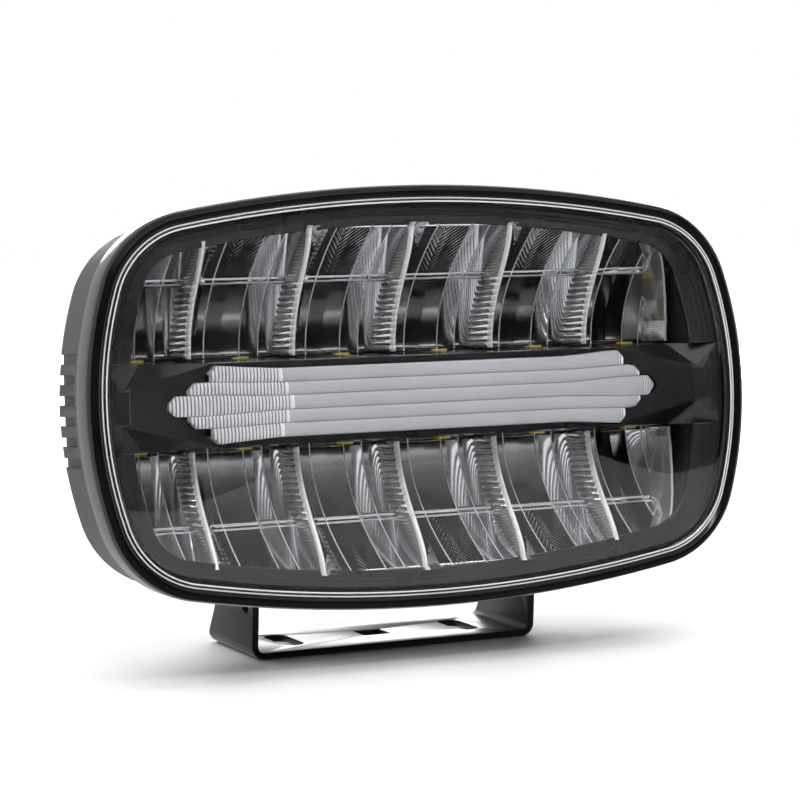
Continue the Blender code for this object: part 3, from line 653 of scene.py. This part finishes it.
def make_light_bar():
    """Five stacked strips."""
    strips = [make_strip("bar_strip_centre", 0, 1)]
    for index in (1, 2):
        strips.append(make_strip(f"bar_strip_upper_{index}", index, 1))
        strips.append(make_strip(f"bar_strip_lower_{index}", index, -1))
    for strip in strips:
        on_lamp(strip, ["light_bar_lens"])


# ---- reflectors ----


def reflector_y(h):
    """Depth of the parabolic reflector at a height above the shelf."""
    return REFLECTOR_BACK - h * h / REFLECTOR_CURVE


def rib_front(h):
    """Front edge of a rib, which stands out less towards the top."""
    return reflector_y(h) - max(20.5 - 13 * (h / 52) ** 4.8, 4)


# (offset from the rib, depth): the lines between which a cell is flat across
CELL_LINES = [(5.4, 0.0), (9.5, -0.9), (18.0, 0.0), (26.4, -0.7), (35.8, 0.2), (43.8, -0.6)]
CREASES = (9.5, 26.4, 35.8)
CREASE_HALF = 0.24
LEDGES = ((32.3, 33.0, 1.0), (34.4, 34.7, 0.5))    # low, high and how far each stands out
LEDGE_LEFT, LEDGE_RIGHT = -124.5, 128
RIPPLES_FROM, RIPPLE_PITCH = 34.3, 1.9


def cell_relief(offset, h):
    """Relief of one reflector cell in mm towards the back, at an offset from its left rib."""
    depth = CELL_LINES[-1][1]
    for (a, da), (b, db) in zip(CELL_LINES, CELL_LINES[1:]):
        if a <= offset <= b:
            depth = da + (db - da) * (offset - a) / (b - a)
            break
    for crease in CREASES:
        depth -= 0.5 * smoothstep(0, 0.12, CREASE_HALF + 0.06 - abs(offset - crease))
    if h > RIPPLES_FROM and 5.4 < offset < 26.4:
        slant = 0.9 if offset < 15 else -0.9
        wave = math.sin(2 * math.pi * (h + slant * (offset - 15)) / RIPPLE_PITCH)
        depth += 0.24 * wave * smoothstep(RIPPLES_FROM, 36.5, h)
    return depth


def ledge_relief(x, h):
    """Relief of the two ledges that cross every cell."""
    if not LEDGE_LEFT < x < LEDGE_RIGHT:
        return 0
    return -sum(depth for low, high, depth in LEDGES if low <= h <= high)


def cell_columns():
    """Every x of the reflector's grid, closer together at the creases and ripples."""
    offsets = [5.4 + 0.55 * i for i in range(39)]
    for crease in CREASES:
        offsets += [crease + d for d in (-0.36, -CREASE_HALF, CREASE_HALF, 0.36)]
    offsets += [28.5, 30.5, 32.5, 34.5, 37.5, 39.5, 41.5, 43.7]
    xs = []
    for k in range(-3, 3):
        xs += [k * CELL_PITCH + offset for offset in offsets]
    xs += [-END_WALL_X - 0.5, END_WALL_X + 0.5]
    return sorted(x for x in set(round(x, 3) for x in xs) if abs(x) <= END_WALL_X + 0.6)


def row_heights():
    """Heights above the shelf, closer together at the seam and above it."""
    heights = [1.5 * i for i in range(22)]
    heights += [32.1, 32.3, 33.0, 33.2, 34.2, 34.4, 34.7, 34.9]
    heights += [35.3 + 0.5 * i for i in range(41)]
    return [h for h in heights if h <= REFLECTOR_TOP - SHELF_Z]


def outside_opening(x, z, grow):
    """True beyond the mask's opening, moved out by grow."""
    half_w, half_h = MASK_OPENING[0] + grow, MASK_OPENING[1] + grow
    top = MASK_OPENING[2] + grow
    side = MASK_OPENING[3] + grow
    past_top = math.hypot(x, abs(z) - (half_h - top)) > top
    past_side = math.hypot(abs(x) - (half_w - side), z) > side
    return past_top or past_side


def on_ridge(left, right, low, high):
    """True for the faces of the creases and the two ledges, which carry the painted highlight."""
    offset = (left + right) / 2 % CELL_PITCH
    if any(abs(offset - crease) < CREASE_HALF for crease in CREASES):
        return True
    middle = (low + high) / 2
    return LEDGE_LEFT < left < LEDGE_RIGHT and any(a < middle < b for a, b, _ in LEDGES)


def make_reflector(word, side):
    """Parabolic sheet of one row, with creases, slanted ripples and the ledges."""
    bm = bmesh.new()
    xs = cell_columns()
    heights = row_heights()
    grid = []
    for h in heights:
        row = []
        for x in xs:
            y = reflector_y(h) + cell_relief(x % CELL_PITCH, h) + ledge_relief(x, h)
            row.append(bm.verts.new(Vector((x, y, side * (SHELF_Z + h))) * MM))
        grid.append(row)
    for r, (low, high) in enumerate(zip(grid, grid[1:])):
        z = SHELF_Z + (heights[r] + heights[r + 1]) / 2
        for i in range(len(xs) - 1):
            if outside_opening((xs[i] + xs[i + 1]) / 2, z, 2.5):
                continue
            order = (low[i], low[i + 1], high[i + 1], high[i])
            face = bm.faces.new(order if side > 0 else tuple(reversed(order)))
            # creases and ledges get the painted highlight, the rest of the sheet plain chrome
            face.material_index = int(on_ridge(xs[i], xs[i + 1], heights[r], heights[r + 1]))
    loose = [v for v in bm.verts if not v.link_faces]
    bmesh.ops.delete(bm, geom=loose, context="VERTS")
    obj = finish_mesh(f"{word}_reflector_skin", bm, [CHROME, PAINTED_HIGHLIGHT], 40, recalc=False)
    mod = obj.modifiers.new("thickness", "SOLIDIFY")
    mod.thickness = 1.2 * MM
    mod.offset = -1
    apply_modifiers(obj)
    on_lamp(obj, [f"{word}_reflector"])


def flute(h):
    """Scalloped depth of a rib's left wall."""
    if h < SEAM_HEIGHT:
        return 0.85 * abs(math.sin(math.pi * h / 2.66)) ** 0.8
    return 0.45 * abs(math.sin(math.pi * h / 1.4)) ** 0.8


def rib_heights():
    """Heights of a rib's rows, a few to each flute."""
    heights = []
    h = 0.0
    while h < SEAM_HEIGHT:
        heights.append(h)
        h += 0.38
    while h <= REFLECTOR_TOP - SHELF_Z + 1:
        heights.append(h)
        h += 0.28
    return heights


def make_ribs(word, side):
    """Five walls between the cells: fluted on the left, sloping on the right."""
    for k, rib_x in enumerate(RIBS):
        rows = []
        for h in rib_heights():
            z = side * (SHELF_Z + h)
            if outside_opening(rib_x, z, 2.0):
                break
            back = reflector_y(h) + 0.8
            front = min(rib_front(h), back - 1)
            bump = flute(h)
            mid = (back + front) / 2
            wall = rib_x - RIB_LEFT
            rows.append([(wall, back, z), (wall - bump, back - 1, z),
                         (wall - bump, mid, z), (wall - bump, front + 1.2, z),
                         (rib_x - 5.3, front + 0.5, z), (rib_x - 4.9, front + 0.05 - bump * 0.5, z),
                         (rib_x - 4.3, front - bump * 0.6, z), (rib_x - 3.7, front + 0.1, z),
                         (rib_x - 3.3, front + 0.7, z), (rib_x + 0.8, mid + 0.2, z),
                         (rib_x + 5.4, back, z)])
        if side < 0:
            rows = rows[::-1]

        # the flutes stay metallised, the rib's front edge gets the painted highlight and the
        # sloping side plain chrome
        def paint(r, i):
            if i < 3:
                return 0
            return 1 if i < 7 else 2

        obj = sheet(f"{word}_rib_{k + 1}", rows, [FLUTE_CHROME, PAINTED_HIGHLIGHT, CHROME], 50, paint)
        on_lamp(obj, [f"{word}_reflector"])


# (x, z) along the foot of an end wall
END_WALL = [(137.2, 20.3), (137.1, 30), (134.8, 40), (131.0, 50), (128.0, 56), (124.5, 62),
            (118.0, 68), (108.0, 72.5)]


def wall_x(z):
    """Where the end wall stands at a height."""
    for (xa, za), (xb, zb) in zip(END_WALL, END_WALL[1:]):
        if za <= z <= zb:
            return xa + (xb - xa) * (z - za) / (zb - za)
    return END_WALL[-1][0]


def make_end_walls(word, side):
    """Wall at each end of a row, with fine ridges that fade upwards."""
    for sx, hand in ((-1, "left"), (1, "right")):
        rows = []
        h = 0.0
        while SHELF_Z + h < 72.5:
            z = SHELF_Z + h
            x = wall_x(z)
            back = reflector_y(h) + 0.8
            front = min(max(rib_front(h), 10.5), back - 0.5)
            ridge = 0.22 * abs(math.sin(math.pi * h / 1.07)) * (1 - 0.7 * smoothstep(12, 40, h))
            section = [(x, back), (x - ridge, back - 0.4), (x - ridge, (back + front) / 2),
                       (x - ridge, front + 0.5), (x + 0.1, front), (x + 0.8, front),
                       (x + 1.1, front + 0.6)]
            rows.append([(sx * u, y, side * z) for u, y in section])
            h += 0.27
        if sx * side > 0:
            rows = rows[::-1]
        # the ridged wall stays metallised, its front edge gets the painted highlight
        obj = sheet(f"{word}_end_wall_{hand}", rows, [FLUTE_CHROME, PAINTED_HIGHLIGHT], 50,
                    lambda r, i: 0 if i < 3 else 1)
        on_lamp(obj, [f"{word}_reflector"])


def make_leds(row, side):
    """White ceramic chip with a yellow phosphor on top, one for each cell."""
    for i in range(6):
        x = (i - 2.5) * CELL_PITCH
        low, high, top = side * 19.0, side * 20.0, side * 20.6
        base = rounded([(x - 3.4, 42.9, 0.3), (x + 3.4, 42.9, 0.3), (x + 3.4, 48.1, 0.3),
                        (x - 3.4, 48.1, 0.3)], 3)
        chip = prism(f"{row}_chip_{i + 1}", base, low, high, "Z", [CERAMIC])
        glow = rounded([(x - 3.1, 42.8, 0.5), (x + 3.1, 42.8, 0.5), (x + 3.1, 47.8, 0.5),
                        (x - 3.1, 47.8, 0.5)], 3)
        cap = prism(f"{row}_phosphor_{i + 1}", glow, high, top, "Z", [PHOSPHOR])
        on_lamp(chip, [f"{row}_led_{i + 1}"])
        on_lamp(cap, [f"{row}_led_{i + 1}"])


# ---- housing ----


def box(name, low, high):
    """Block between two corners."""
    outline = [(low[0], low[1]), (high[0], low[1]), (high[0], high[1]), (low[0], high[1])]
    return prism(name, outline, low[2], high[2], "Z")


def make_boss():
    """Rear power housing with vertical fins, their ends sloping."""
    shoulder = BOSS_Y - 4
    comb = [(-BOSS_HALF_WIDTH, REAR_Y - 2, 0), (-BOSS_HALF_WIDTH, shoulder, 1.5)]
    for i in range(FIN_COUNT):
        x = (i - (FIN_COUNT - 1) / 2) * FIN_PITCH
        comb += [(x - 2.2, BOSS_Y, 1.2), (x - 1.5, FIN_Y, 0.9), (x + 1.5, FIN_Y, 0.9),
                 (x + 2.2, BOSS_Y, 1.2)]
    comb += [(BOSS_HALF_WIDTH, shoulder, 1.5), (BOSS_HALF_WIDTH, REAR_Y - 2, 0)]
    boss = prism("boss", rounded(comb, 3), BOSS_BOTTOM, BOSS_TOP, "Z")
    side = [(40, BOSS_BOTTOM, 0), (BOSS_Y, BOSS_BOTTOM, 2.5), (BOSS_Y, FIN_BOTTOM, 0),
            (FIN_Y + 1, FIN_BOTTOM + 18, 6), (FIN_Y + 1, BOSS_TOP - 18, 6), (BOSS_Y, BOSS_TOP, 2.5),
            (40, BOSS_TOP, 0)]
    return boolean(boss, [prism("boss_ends", rounded(side, 5), -90, 90, "X")], "INTERSECT")


def arm_relief(side):
    """Space that an arm crosses while the lamp tilts."""
    corners = [(-16.5, ARM_RADIUS + 2, 8), (-16.5, 4, 0), (-30, -24, 0), (-34, -60, 0),
               (60, -60, 0), (60, ARM_RADIUS + 2, 0)]
    outline = [(PIVOT_IN_LAMP.y + y, PIVOT_IN_LAMP.z + z) for y, z in rounded(corners)]
    low, high = sorted((side * BOSS_HALF_WIDTH, side * 73.6))
    return prism(f"relief_{side}", outline, low, high, "X")


def side_groove(side, i):
    """Cutter for one cooling groove in an end of the housing."""
    z = (i - (GROOVES - 1) / 2) * GROOVE_PITCH
    half = GROOVE_HEIGHT / 2
    corners = [(30, z - half, 1.9), (75, z - half, 0), (75, z + half, 0), (30, z + half, 1.9)]
    low, high = sorted((side * 151.6, side * 170))
    return prism(f"groove_{side}_{i}", rounded(corners, 5), low, high, "X")


def bore(name, center, axis, radius, reach):
    """Cutter for a round hole that reaches equally far both ways."""
    section = [(0.01, -reach), (radius, -reach), (radius, reach), (0.01, reach)]
    return turned(name, center, axis, section)


def make_housing():
    """Die-cast shell with its power housing, side grooves, inside rooms and bores."""
    profile = [(3.4, 6.4), (3.4, 16.3), (4.0, 17.9), (4.0, REAR_Y - REAR_ROUND)]
    for i in range(1, 9):
        angle = math.pi / 2 * i / 8
        profile.append((SIDE_INSET + REAR_ROUND * (1 - math.cos(angle)),
                        REAR_Y - REAR_ROUND * (1 - math.sin(angle))))
    housing = rim_loft("housing", profile, [CAST])
    boolean(housing, [make_boss()], "UNION")
    cuts = [rim_loft("cavity", [(7, 0), (7, 27), (13, 27.5), (13, 48)]),
            box("spreader_room", (-140, 40, -38), (140, 56, 60)),
            box("boss_room", (-60, 45, -75), (60, 82, 45))]
    for side in (-1, 1):
        cuts.append(arm_relief(side))
        cuts += [side_groove(side, i) for i in range(GROOVES)]
        pivot = (side * 62, PIVOT_IN_LAMP.y, PIVOT_IN_LAMP.z)
        cuts.append(bore(f"bore_{side}", pivot, "X", 4.4, 18))
    for x, z, radius in ((*GLAND, 6.3), (*VENT, 3.3)):
        cuts.append(bore(f"bore_{x}", (x, 90, z), "Y", radius, 20))
    boolean(housing, cuts)
    on_lamp(soften(housing, 0.55, 2, 42), ["rear_housing"])


# ---- bracket ----


def arm_outline():
    """Side view of the bracket in (y, z): its base, and arms that taper to a round end."""
    waist, foot = (10.0, 30.0), (-28.5, 21.0)

    def tangent(point, turn):
        away = Vector(point) - Vector(PIVOT_IN_BASE)
        return math.atan2(away.y, away.x) + turn * math.acos(ARM_RADIUS / away.length)

    start, end = tangent(waist, 1), tangent(foot, -1) + 2 * math.pi
    below = -SHEET - 2
    side = [(BASE_HALF_DEPTH, below, 0), (BASE_HALF_DEPTH, 2.0, 5), (*waist, 12)]
    side += [(y, z, 0) for y, z in arc(PIVOT_IN_BASE, ARM_RADIUS, start, end, 28)]
    side += [(*foot, 10), (-BASE_HALF_DEPTH, 2.0, 0), (-BASE_HALF_DEPTH, below, 0)]
    return rounded(side, 10)


def make_bracket():
    """U of bent sheet with round-ended arms, a square hole, two slots and round holes."""
    half = BRACKET_HALF_WIDTH
    top = PIVOT_IN_BASE[1] + ARM_RADIUS
    section = [(half, top + 5, 0), (-half, top + 5, 0), (-half, -SHEET, BEND_RADIUS),
               (half, -SHEET, BEND_RADIUS)]
    inner = BEND_RADIUS - SHEET
    hollow = [(half - SHEET, top + 9, 0), (SHEET - half, top + 9, 0), (SHEET - half, 0, inner),
              (half - SHEET, 0, inner)]
    bracket = prism("bracket", rounded(section, 10), -35, 35, "Y", [POWDER])
    boolean(bracket, [prism("inside", rounded(hollow, 10), -60, 60, "Y")])
    boolean(bracket, [prism("arms", arm_outline(), -90, 90, "X")], "INTERSECT")
    near, far = -SQUARE_HOLE / 2, SQUARE_HOLE / 2
    square = rounded([(near, near, 0.8), (far, near, 0.8), (far, far, 0.8), (near, far, 0.8)])
    cuts = [prism("square", square, -10, 10, "Z")]
    radius = SLOT_WIDTH / 2
    end = SLOT_LENGTH / 2 - radius
    for x in (-SLOT_X, SLOT_X):
        ends = arc((x, end), radius, 0, math.pi, 16)
        ends += arc((x, -end), radius, math.pi, 2 * math.pi, 16)
        cuts.append(prism(f"slot_{x}", ends, -10, 10, "Z"))
    for name, at, radius in (("pivot", PIVOT_IN_BASE, 4.6), ("spare", (-19.5, 21.6), 4.3)):
        cuts.append(bore(f"{name}_holes", (0, *at), "X", radius, 90))
    boolean(bracket, cuts)
    place(soften(bracket, 0.4, 3, 45), BASE, "bracket", ["mounting_bracket"])


# ---- bolts, washers and the fittings on the back ----


def hexagon(radius, turn=0.0):
    """Corners of a hexagon about the origin."""
    return [(radius * math.cos(turn + math.pi / 3 * i), radius * math.sin(turn + math.pi / 3 * i))
            for i in range(6)]


def hex_solid(name, center, axis, radius, low, high, chamfer, mats):
    """Hexagonal head or nut along X or Y, with a turned chamfer."""
    a, b = (1, 2) if axis == "X" else (0, 2)
    outline = [(center[a] + u, center[b] + v) for u, v in hexagon(radius)]
    along = center[0] if axis == "X" else center[1]
    head = prism(name, outline, along + low, along + high, axis, mats)
    cone = [(0.01, low - 1), (radius - chamfer[0] * 2, low - 1e-3),
            (radius + 0.1, low + chamfer[0]), (radius + 0.1, high - chamfer[1]),
            (radius - chamfer[1] * 2, high + 1e-3), (0.01, high + 1)]
    return boolean(head, [turned(name + "_cone", center, axis, cone, sides=72)], "INTERSECT")


def make_washers(side, word, center):
    """Toothed washer inside an arm, flat washer and split spring washer outside it."""
    outer = BRACKET_HALF_WIDTH
    hole = 4.3

    def ring(name, radius, low, high, edge, mats, bend=None):
        section = rounded([(hole, side * low, edge), (radius, side * low, edge),
                           (radius, side * high, edge), (hole, side * high, edge)], 3)
        return turned(name, center, "X", section, mats, 96, radius=bend)

    def teeth(angle, r):
        return r + (0.45 * abs(math.sin(angle * 15)) if r > 9 else 0)

    tooth = ring(f"{word}_toothed_ring", 10.4, 66.55, 67.95, 0.2, [ZINC], teeth)
    on_lamp(tooth, [f"{word}_tooth_washer"])
    flat = ring(f"{word}_washer", 9.0, outer + 0.3, outer + 1.9, 0.3, [ZINC])
    on_lamp(flat, [f"{word}_flat_washer"])
    spring = ring(f"{word}_split_washer", 7.2, outer + 2.2, outer + 4.2, 0.25, [ZINC])
    xs = sorted((side * (outer + 1), side * (outer + 6)))
    split = [(center[1] - 0.9, center[2] + 2), (center[1] + 0.1, center[2] + 2),
             (center[1] + 1.3, center[2] + 9), (center[1] + 0.3, center[2] + 9)]
    boolean(spring, [prism("split", split, *xs, "X")])
    on_lamp(spring, [f"{word}_spring_washer"])


def make_pivot_bolt(side, word, center):
    """Hexagon head with a socket, and a threaded shank."""
    outer = BRACKET_HALF_WIDTH
    low, high = sorted((side * (outer + 4.5), side * (outer + 9.8)))
    chamfer = (0.1, 0.8) if side > 0 else (0.8, 0.1)
    bolt = hex_solid(f"{word}_bolt", center, "X", 7.4, low, high, chamfer, [BLACK_STEEL])
    shank = [(0.01, side * 50.5), (3.5, side * 50.5), (4.0, side * 51.5)]
    shank += [(4.0 - 0.35 * (i % 2), side * (51.5 + 0.625 * i)) for i in range(1, 32)]
    shank += [(4.0, side * (outer + 5.5)), (0.01, side * (outer + 5.5))]
    boolean(bolt, [turned("shank", center, "X", shank, sides=40)], "UNION")
    socket = [(center[1] + u, center[2] + v) for u, v in hexagon(3.2, 0.3)]
    xs = sorted((side * (outer + 7), side * (outer + 11)))
    boolean(bolt, [prism("socket", socket, *xs, "X")])
    on_lamp(soften(bolt, 0.18, 2, 50), [f"{word}_pivot_bolt"])


def make_gland():
    """Body with a threaded stem, domed nut and rubber seal, all open for the cable."""
    center = (GLAND[0], 0, GLAND[1])
    face = BOSS_Y + 0.3
    body = hex_solid("gland_body", center, "Y", 10.5, face, face + 5, (0.6, 0.6), [BLACK_STEEL])
    stem = [(4.1, 76.2), (5.6, 76.2)]
    stem += [(6.0 - 0.4 * (i % 2), 77 + 0.5 * i) for i in range(36)] + [(4.1, 95.3)]
    way = [(0.01, 60), (4.1, 60), (4.1, 120), (0.01, 120)]
    boolean(body, [turned("gland_way", center, "Y", way)])
    boolean(body, [turned("gland_stem", center, "Y", stem, sides=48)], "UNION")
    on_lamp(body, ["cable_gland_body"])
    nut = hex_solid("gland_nut", center, "Y", 10.0, face + 5.3, face + 15, (0.5, 2.6),
                    [BLACK_STEEL])
    way = [(0.01, 85), (6.3, 85), (6.3, 120), (0.01, 120)]
    boolean(nut, [turned("nut_way", center, "Y", way)])
    on_lamp(nut, ["cable_gland_nut"])
    section = rounded([(4.0, face + 9.3, 0), (5.9, face + 9.3, 0), (5.9, face + 15, 0.5),
                       (4.0, face + 15, 0.6)], 4)
    on_lamp(turned("gland_seal", center, "Y", section, [RUBBER], 64), ["cable_gland_seal"])


def make_vent():
    """Breather cap with a knurled rim and its short stem."""
    center = (VENT[0], 0, VENT[1])
    face = BOSS_Y + 0.3
    section = rounded([(0.01, 79.2, 0), (3.0, 79.2, 0.3), (3.0, face, 0), (6.9, face, 0.3),
                       (6.9, face + 4, 0.9), (4.6, face + 4, 0.3), (4.4, face + 3.5, 0.3),
                       (0.01, face + 3.4, 0)], 4)

    def knurl(angle, r):
        return r - (0.22 * abs(math.sin(angle * 18)) if r > 6.4 else 0)

    cap = turned("vent_cap", center, "Y", section, [SATIN_BLACK], 216, radius=knurl)
    on_lamp(cap, ["breather_vent"])


NODE_MATERIALS = {
    "lens_gasket": RUBBER, "light_bar_board": BOARD, "upper_led_board": BLACK_BOARD,
    "lower_led_board": BLACK_BOARD, "led_heat_spreader": ALUMINIUM, "driver_board": GREEN,
    "driver_inductor": FERRITE, "driver_capacitor_1": SLEEVE, "driver_capacitor_2": SLEEVE,
    "driver_connector": SATIN_BLACK, "driver_screw_1": ZINC, "driver_screw_2": ZINC,
    "driver_screw_3": ZINC, "driver_screw_4": ZINC,
}


def dress_inner_nodes():
    """Gives the CAD pieces that stay visible their materials."""
    for name, mat in NODE_MATERIALS.items():
        for slot in bpy.data.objects[name].material_slots:
            slot.material = mat


# ---- studio ----


def make_floor():
    """Plain pale floor under the bracket."""
    bm = bmesh.new()
    bmesh.ops.create_grid(bm, x_segments=2, y_segments=2, size=6)
    mesh = bpy.data.meshes.new("floor")
    bm.to_mesh(mesh)
    bm.free()
    mat = moulded("floor_paint", (0.86, 0.86, 0.86), 0.7, 6.0, 0.01, 0.005)
    mesh.materials.append(mat)
    floor = bpy.data.objects.new("floor", mesh)
    bpy.context.scene.collection.objects.link(floor)
    floor.visible_glossy = False


def map_range(tree, source, low, high, to_high):
    """Smooth rise from 0 at low to to_high at high."""
    made = tree.nodes.new("ShaderNodeMapRange")
    made.interpolation_type = "SMOOTHSTEP"
    made.inputs["From Min"].default_value = low
    made.inputs["From Max"].default_value = high
    made.inputs["To Min"].default_value = 0
    made.inputs["To Max"].default_value = to_high
    tree.links.new(source, made.inputs["Value"])
    return made.outputs["Result"]


def add(tree, first, second):
    """Sum of two sockets, or of a socket and a number."""
    made = tree.nodes.new("ShaderNodeMath")
    made.operation = "ADD"
    for socket, value in zip(made.inputs, (first, second)):
        if isinstance(value, float):
            socket.default_value = value
        else:
            tree.links.new(value, socket)
    return made.outputs[0]


def make_world():
    """White backdrop for the camera; reflections see a pale back and ceiling and a dark front."""
    world = bpy.data.worlds.new("studio")
    bpy.context.scene.world = world
    world.use_nodes = True
    tree = world.node_tree
    background = tree.nodes["Background"]
    coordinates = tree.nodes.new("ShaderNodeTexCoord")
    split = tree.nodes.new("ShaderNodeSeparateXYZ")
    tree.links.new(coordinates.outputs["Generated"], split.inputs["Vector"])
    ceiling = map_range(tree, split.outputs["Z"], 0.55, 0.75, 0.4)
    back = map_range(tree, split.outputs["Y"], 0.1, 0.7, 0.6)
    below = map_range(tree, split.outputs["Z"], -0.03, -0.5, 0.1)
    light = add(tree, add(tree, ceiling, add(tree, back, below)), 0.003)
    path = tree.nodes.new("ShaderNodeLightPath")
    mix = tree.nodes.new("ShaderNodeMix")
    mix.data_type = "FLOAT"
    tree.links.new(path.outputs["Is Camera Ray"], mix.inputs["Factor"])
    tree.links.new(light, mix.inputs["A"])
    mix.inputs["B"].default_value = 1.0
    tree.links.new(mix.outputs["Result"], background.inputs["Strength"])
    background.inputs["Color"].default_value = (1, 1, 1, 1)


def softbox(name, location, target, size, radiance):
    """Rectangular light of a given radiance."""
    data = bpy.data.lights.new(name, "AREA")
    data.shape = "RECTANGLE"
    data.size, data.size_y = size
    data.energy = radiance * math.pi * size[0] * size[1]
    obj = bpy.data.objects.new(name, data)
    bpy.context.scene.collection.objects.link(obj)
    aim = (Vector(target) - Vector(location)).to_track_quat("-Z", "Y")
    obj.matrix_world = Matrix.Translation(location) @ aim.to_matrix().to_4x4()
    obj.visible_camera = False


def make_fill():
    """Very soft light from above that whitens the floor and stays out of reflections."""
    data = bpy.data.lights.new("fill", "SUN")
    data.energy = 3.2
    data.angle = math.radians(110)
    obj = bpy.data.objects.new("fill", data)
    bpy.context.scene.collection.objects.link(obj)
    obj.visible_glossy = False


def make_camera():
    """Camera in the lamp frame, 1.16 m off and 25 degrees to the lamp's left."""
    yaw, pitch, roll = math.radians(25), 0.0136, -0.0414
    forward = Vector((math.sin(yaw) * math.cos(pitch), math.cos(yaw) * math.cos(pitch),
                      -math.sin(pitch)))
    level = Vector((math.cos(yaw), -math.sin(yaw), 0))
    upright = level.cross(forward)
    right = math.cos(roll) * level + math.sin(roll) * upright
    up = -math.sin(roll) * level + math.cos(roll) * upright
    at = (-15.089 * right - 2.056 * up - 1155.5 * forward) * MM
    data = bpy.data.cameras.new("camera")
    data.lens = 117.73
    data.sensor_width = 36
    camera = bpy.data.objects.new("camera", data)
    bpy.context.scene.collection.objects.link(camera)
    turn = Matrix((right, up, -forward)).transposed().to_4x4()
    camera.matrix_world = LAMP @ (Matrix.Translation(at) @ turn)
    bpy.context.scene.camera = camera


def make_studio():
    """Camera, floor, backdrop and soft lights."""
    make_camera()
    make_floor()
    make_world()
    bpy.context.scene.view_settings.view_transform = "Standard"
    softbox("left_light", (-1.3, 0.05, 0.35), (0, 0, 0.12), (0.35, 0.9), 1.8)
    softbox("right_light", (1.3, -0.25, 0.25), (0, 0, 0.12), (0.25, 0.8), 4.0)
    softbox("top_strip", (-0.1, -0.9, 1.15), (0, 0, 0.12), (1.4, 0.1), 9.0)
    softbox("back_light", (0.9, 1.9, 0.2), (0, 0, 0.05), (1.6, 0.6), 7.0)
    make_fill()


def make_pieces():
    """Every visible piece of the lamp and its bracket."""
    make_bezel()
    make_lens()
    make_highlight_beads()
    make_mask()
    make_center_trim()
    make_light_bar()
    for word, side in (("upper", 1), ("lower", -1)):
        make_reflector(word, side)
        make_ribs(word, side)
        make_end_walls(word, side)
        make_leds(word, side)
    make_housing()
    make_bracket()
    pivot = (0, PIVOT_IN_LAMP.y, PIVOT_IN_LAMP.z)
    for side, word in ((-1, "left"), (1, "right")):
        make_washers(side, word, pivot)
        make_pivot_bolt(side, word, pivot)
    make_gland()
    make_vent()
    dress_inner_nodes()


def main():
    make_studio()
    make_pieces()


main()
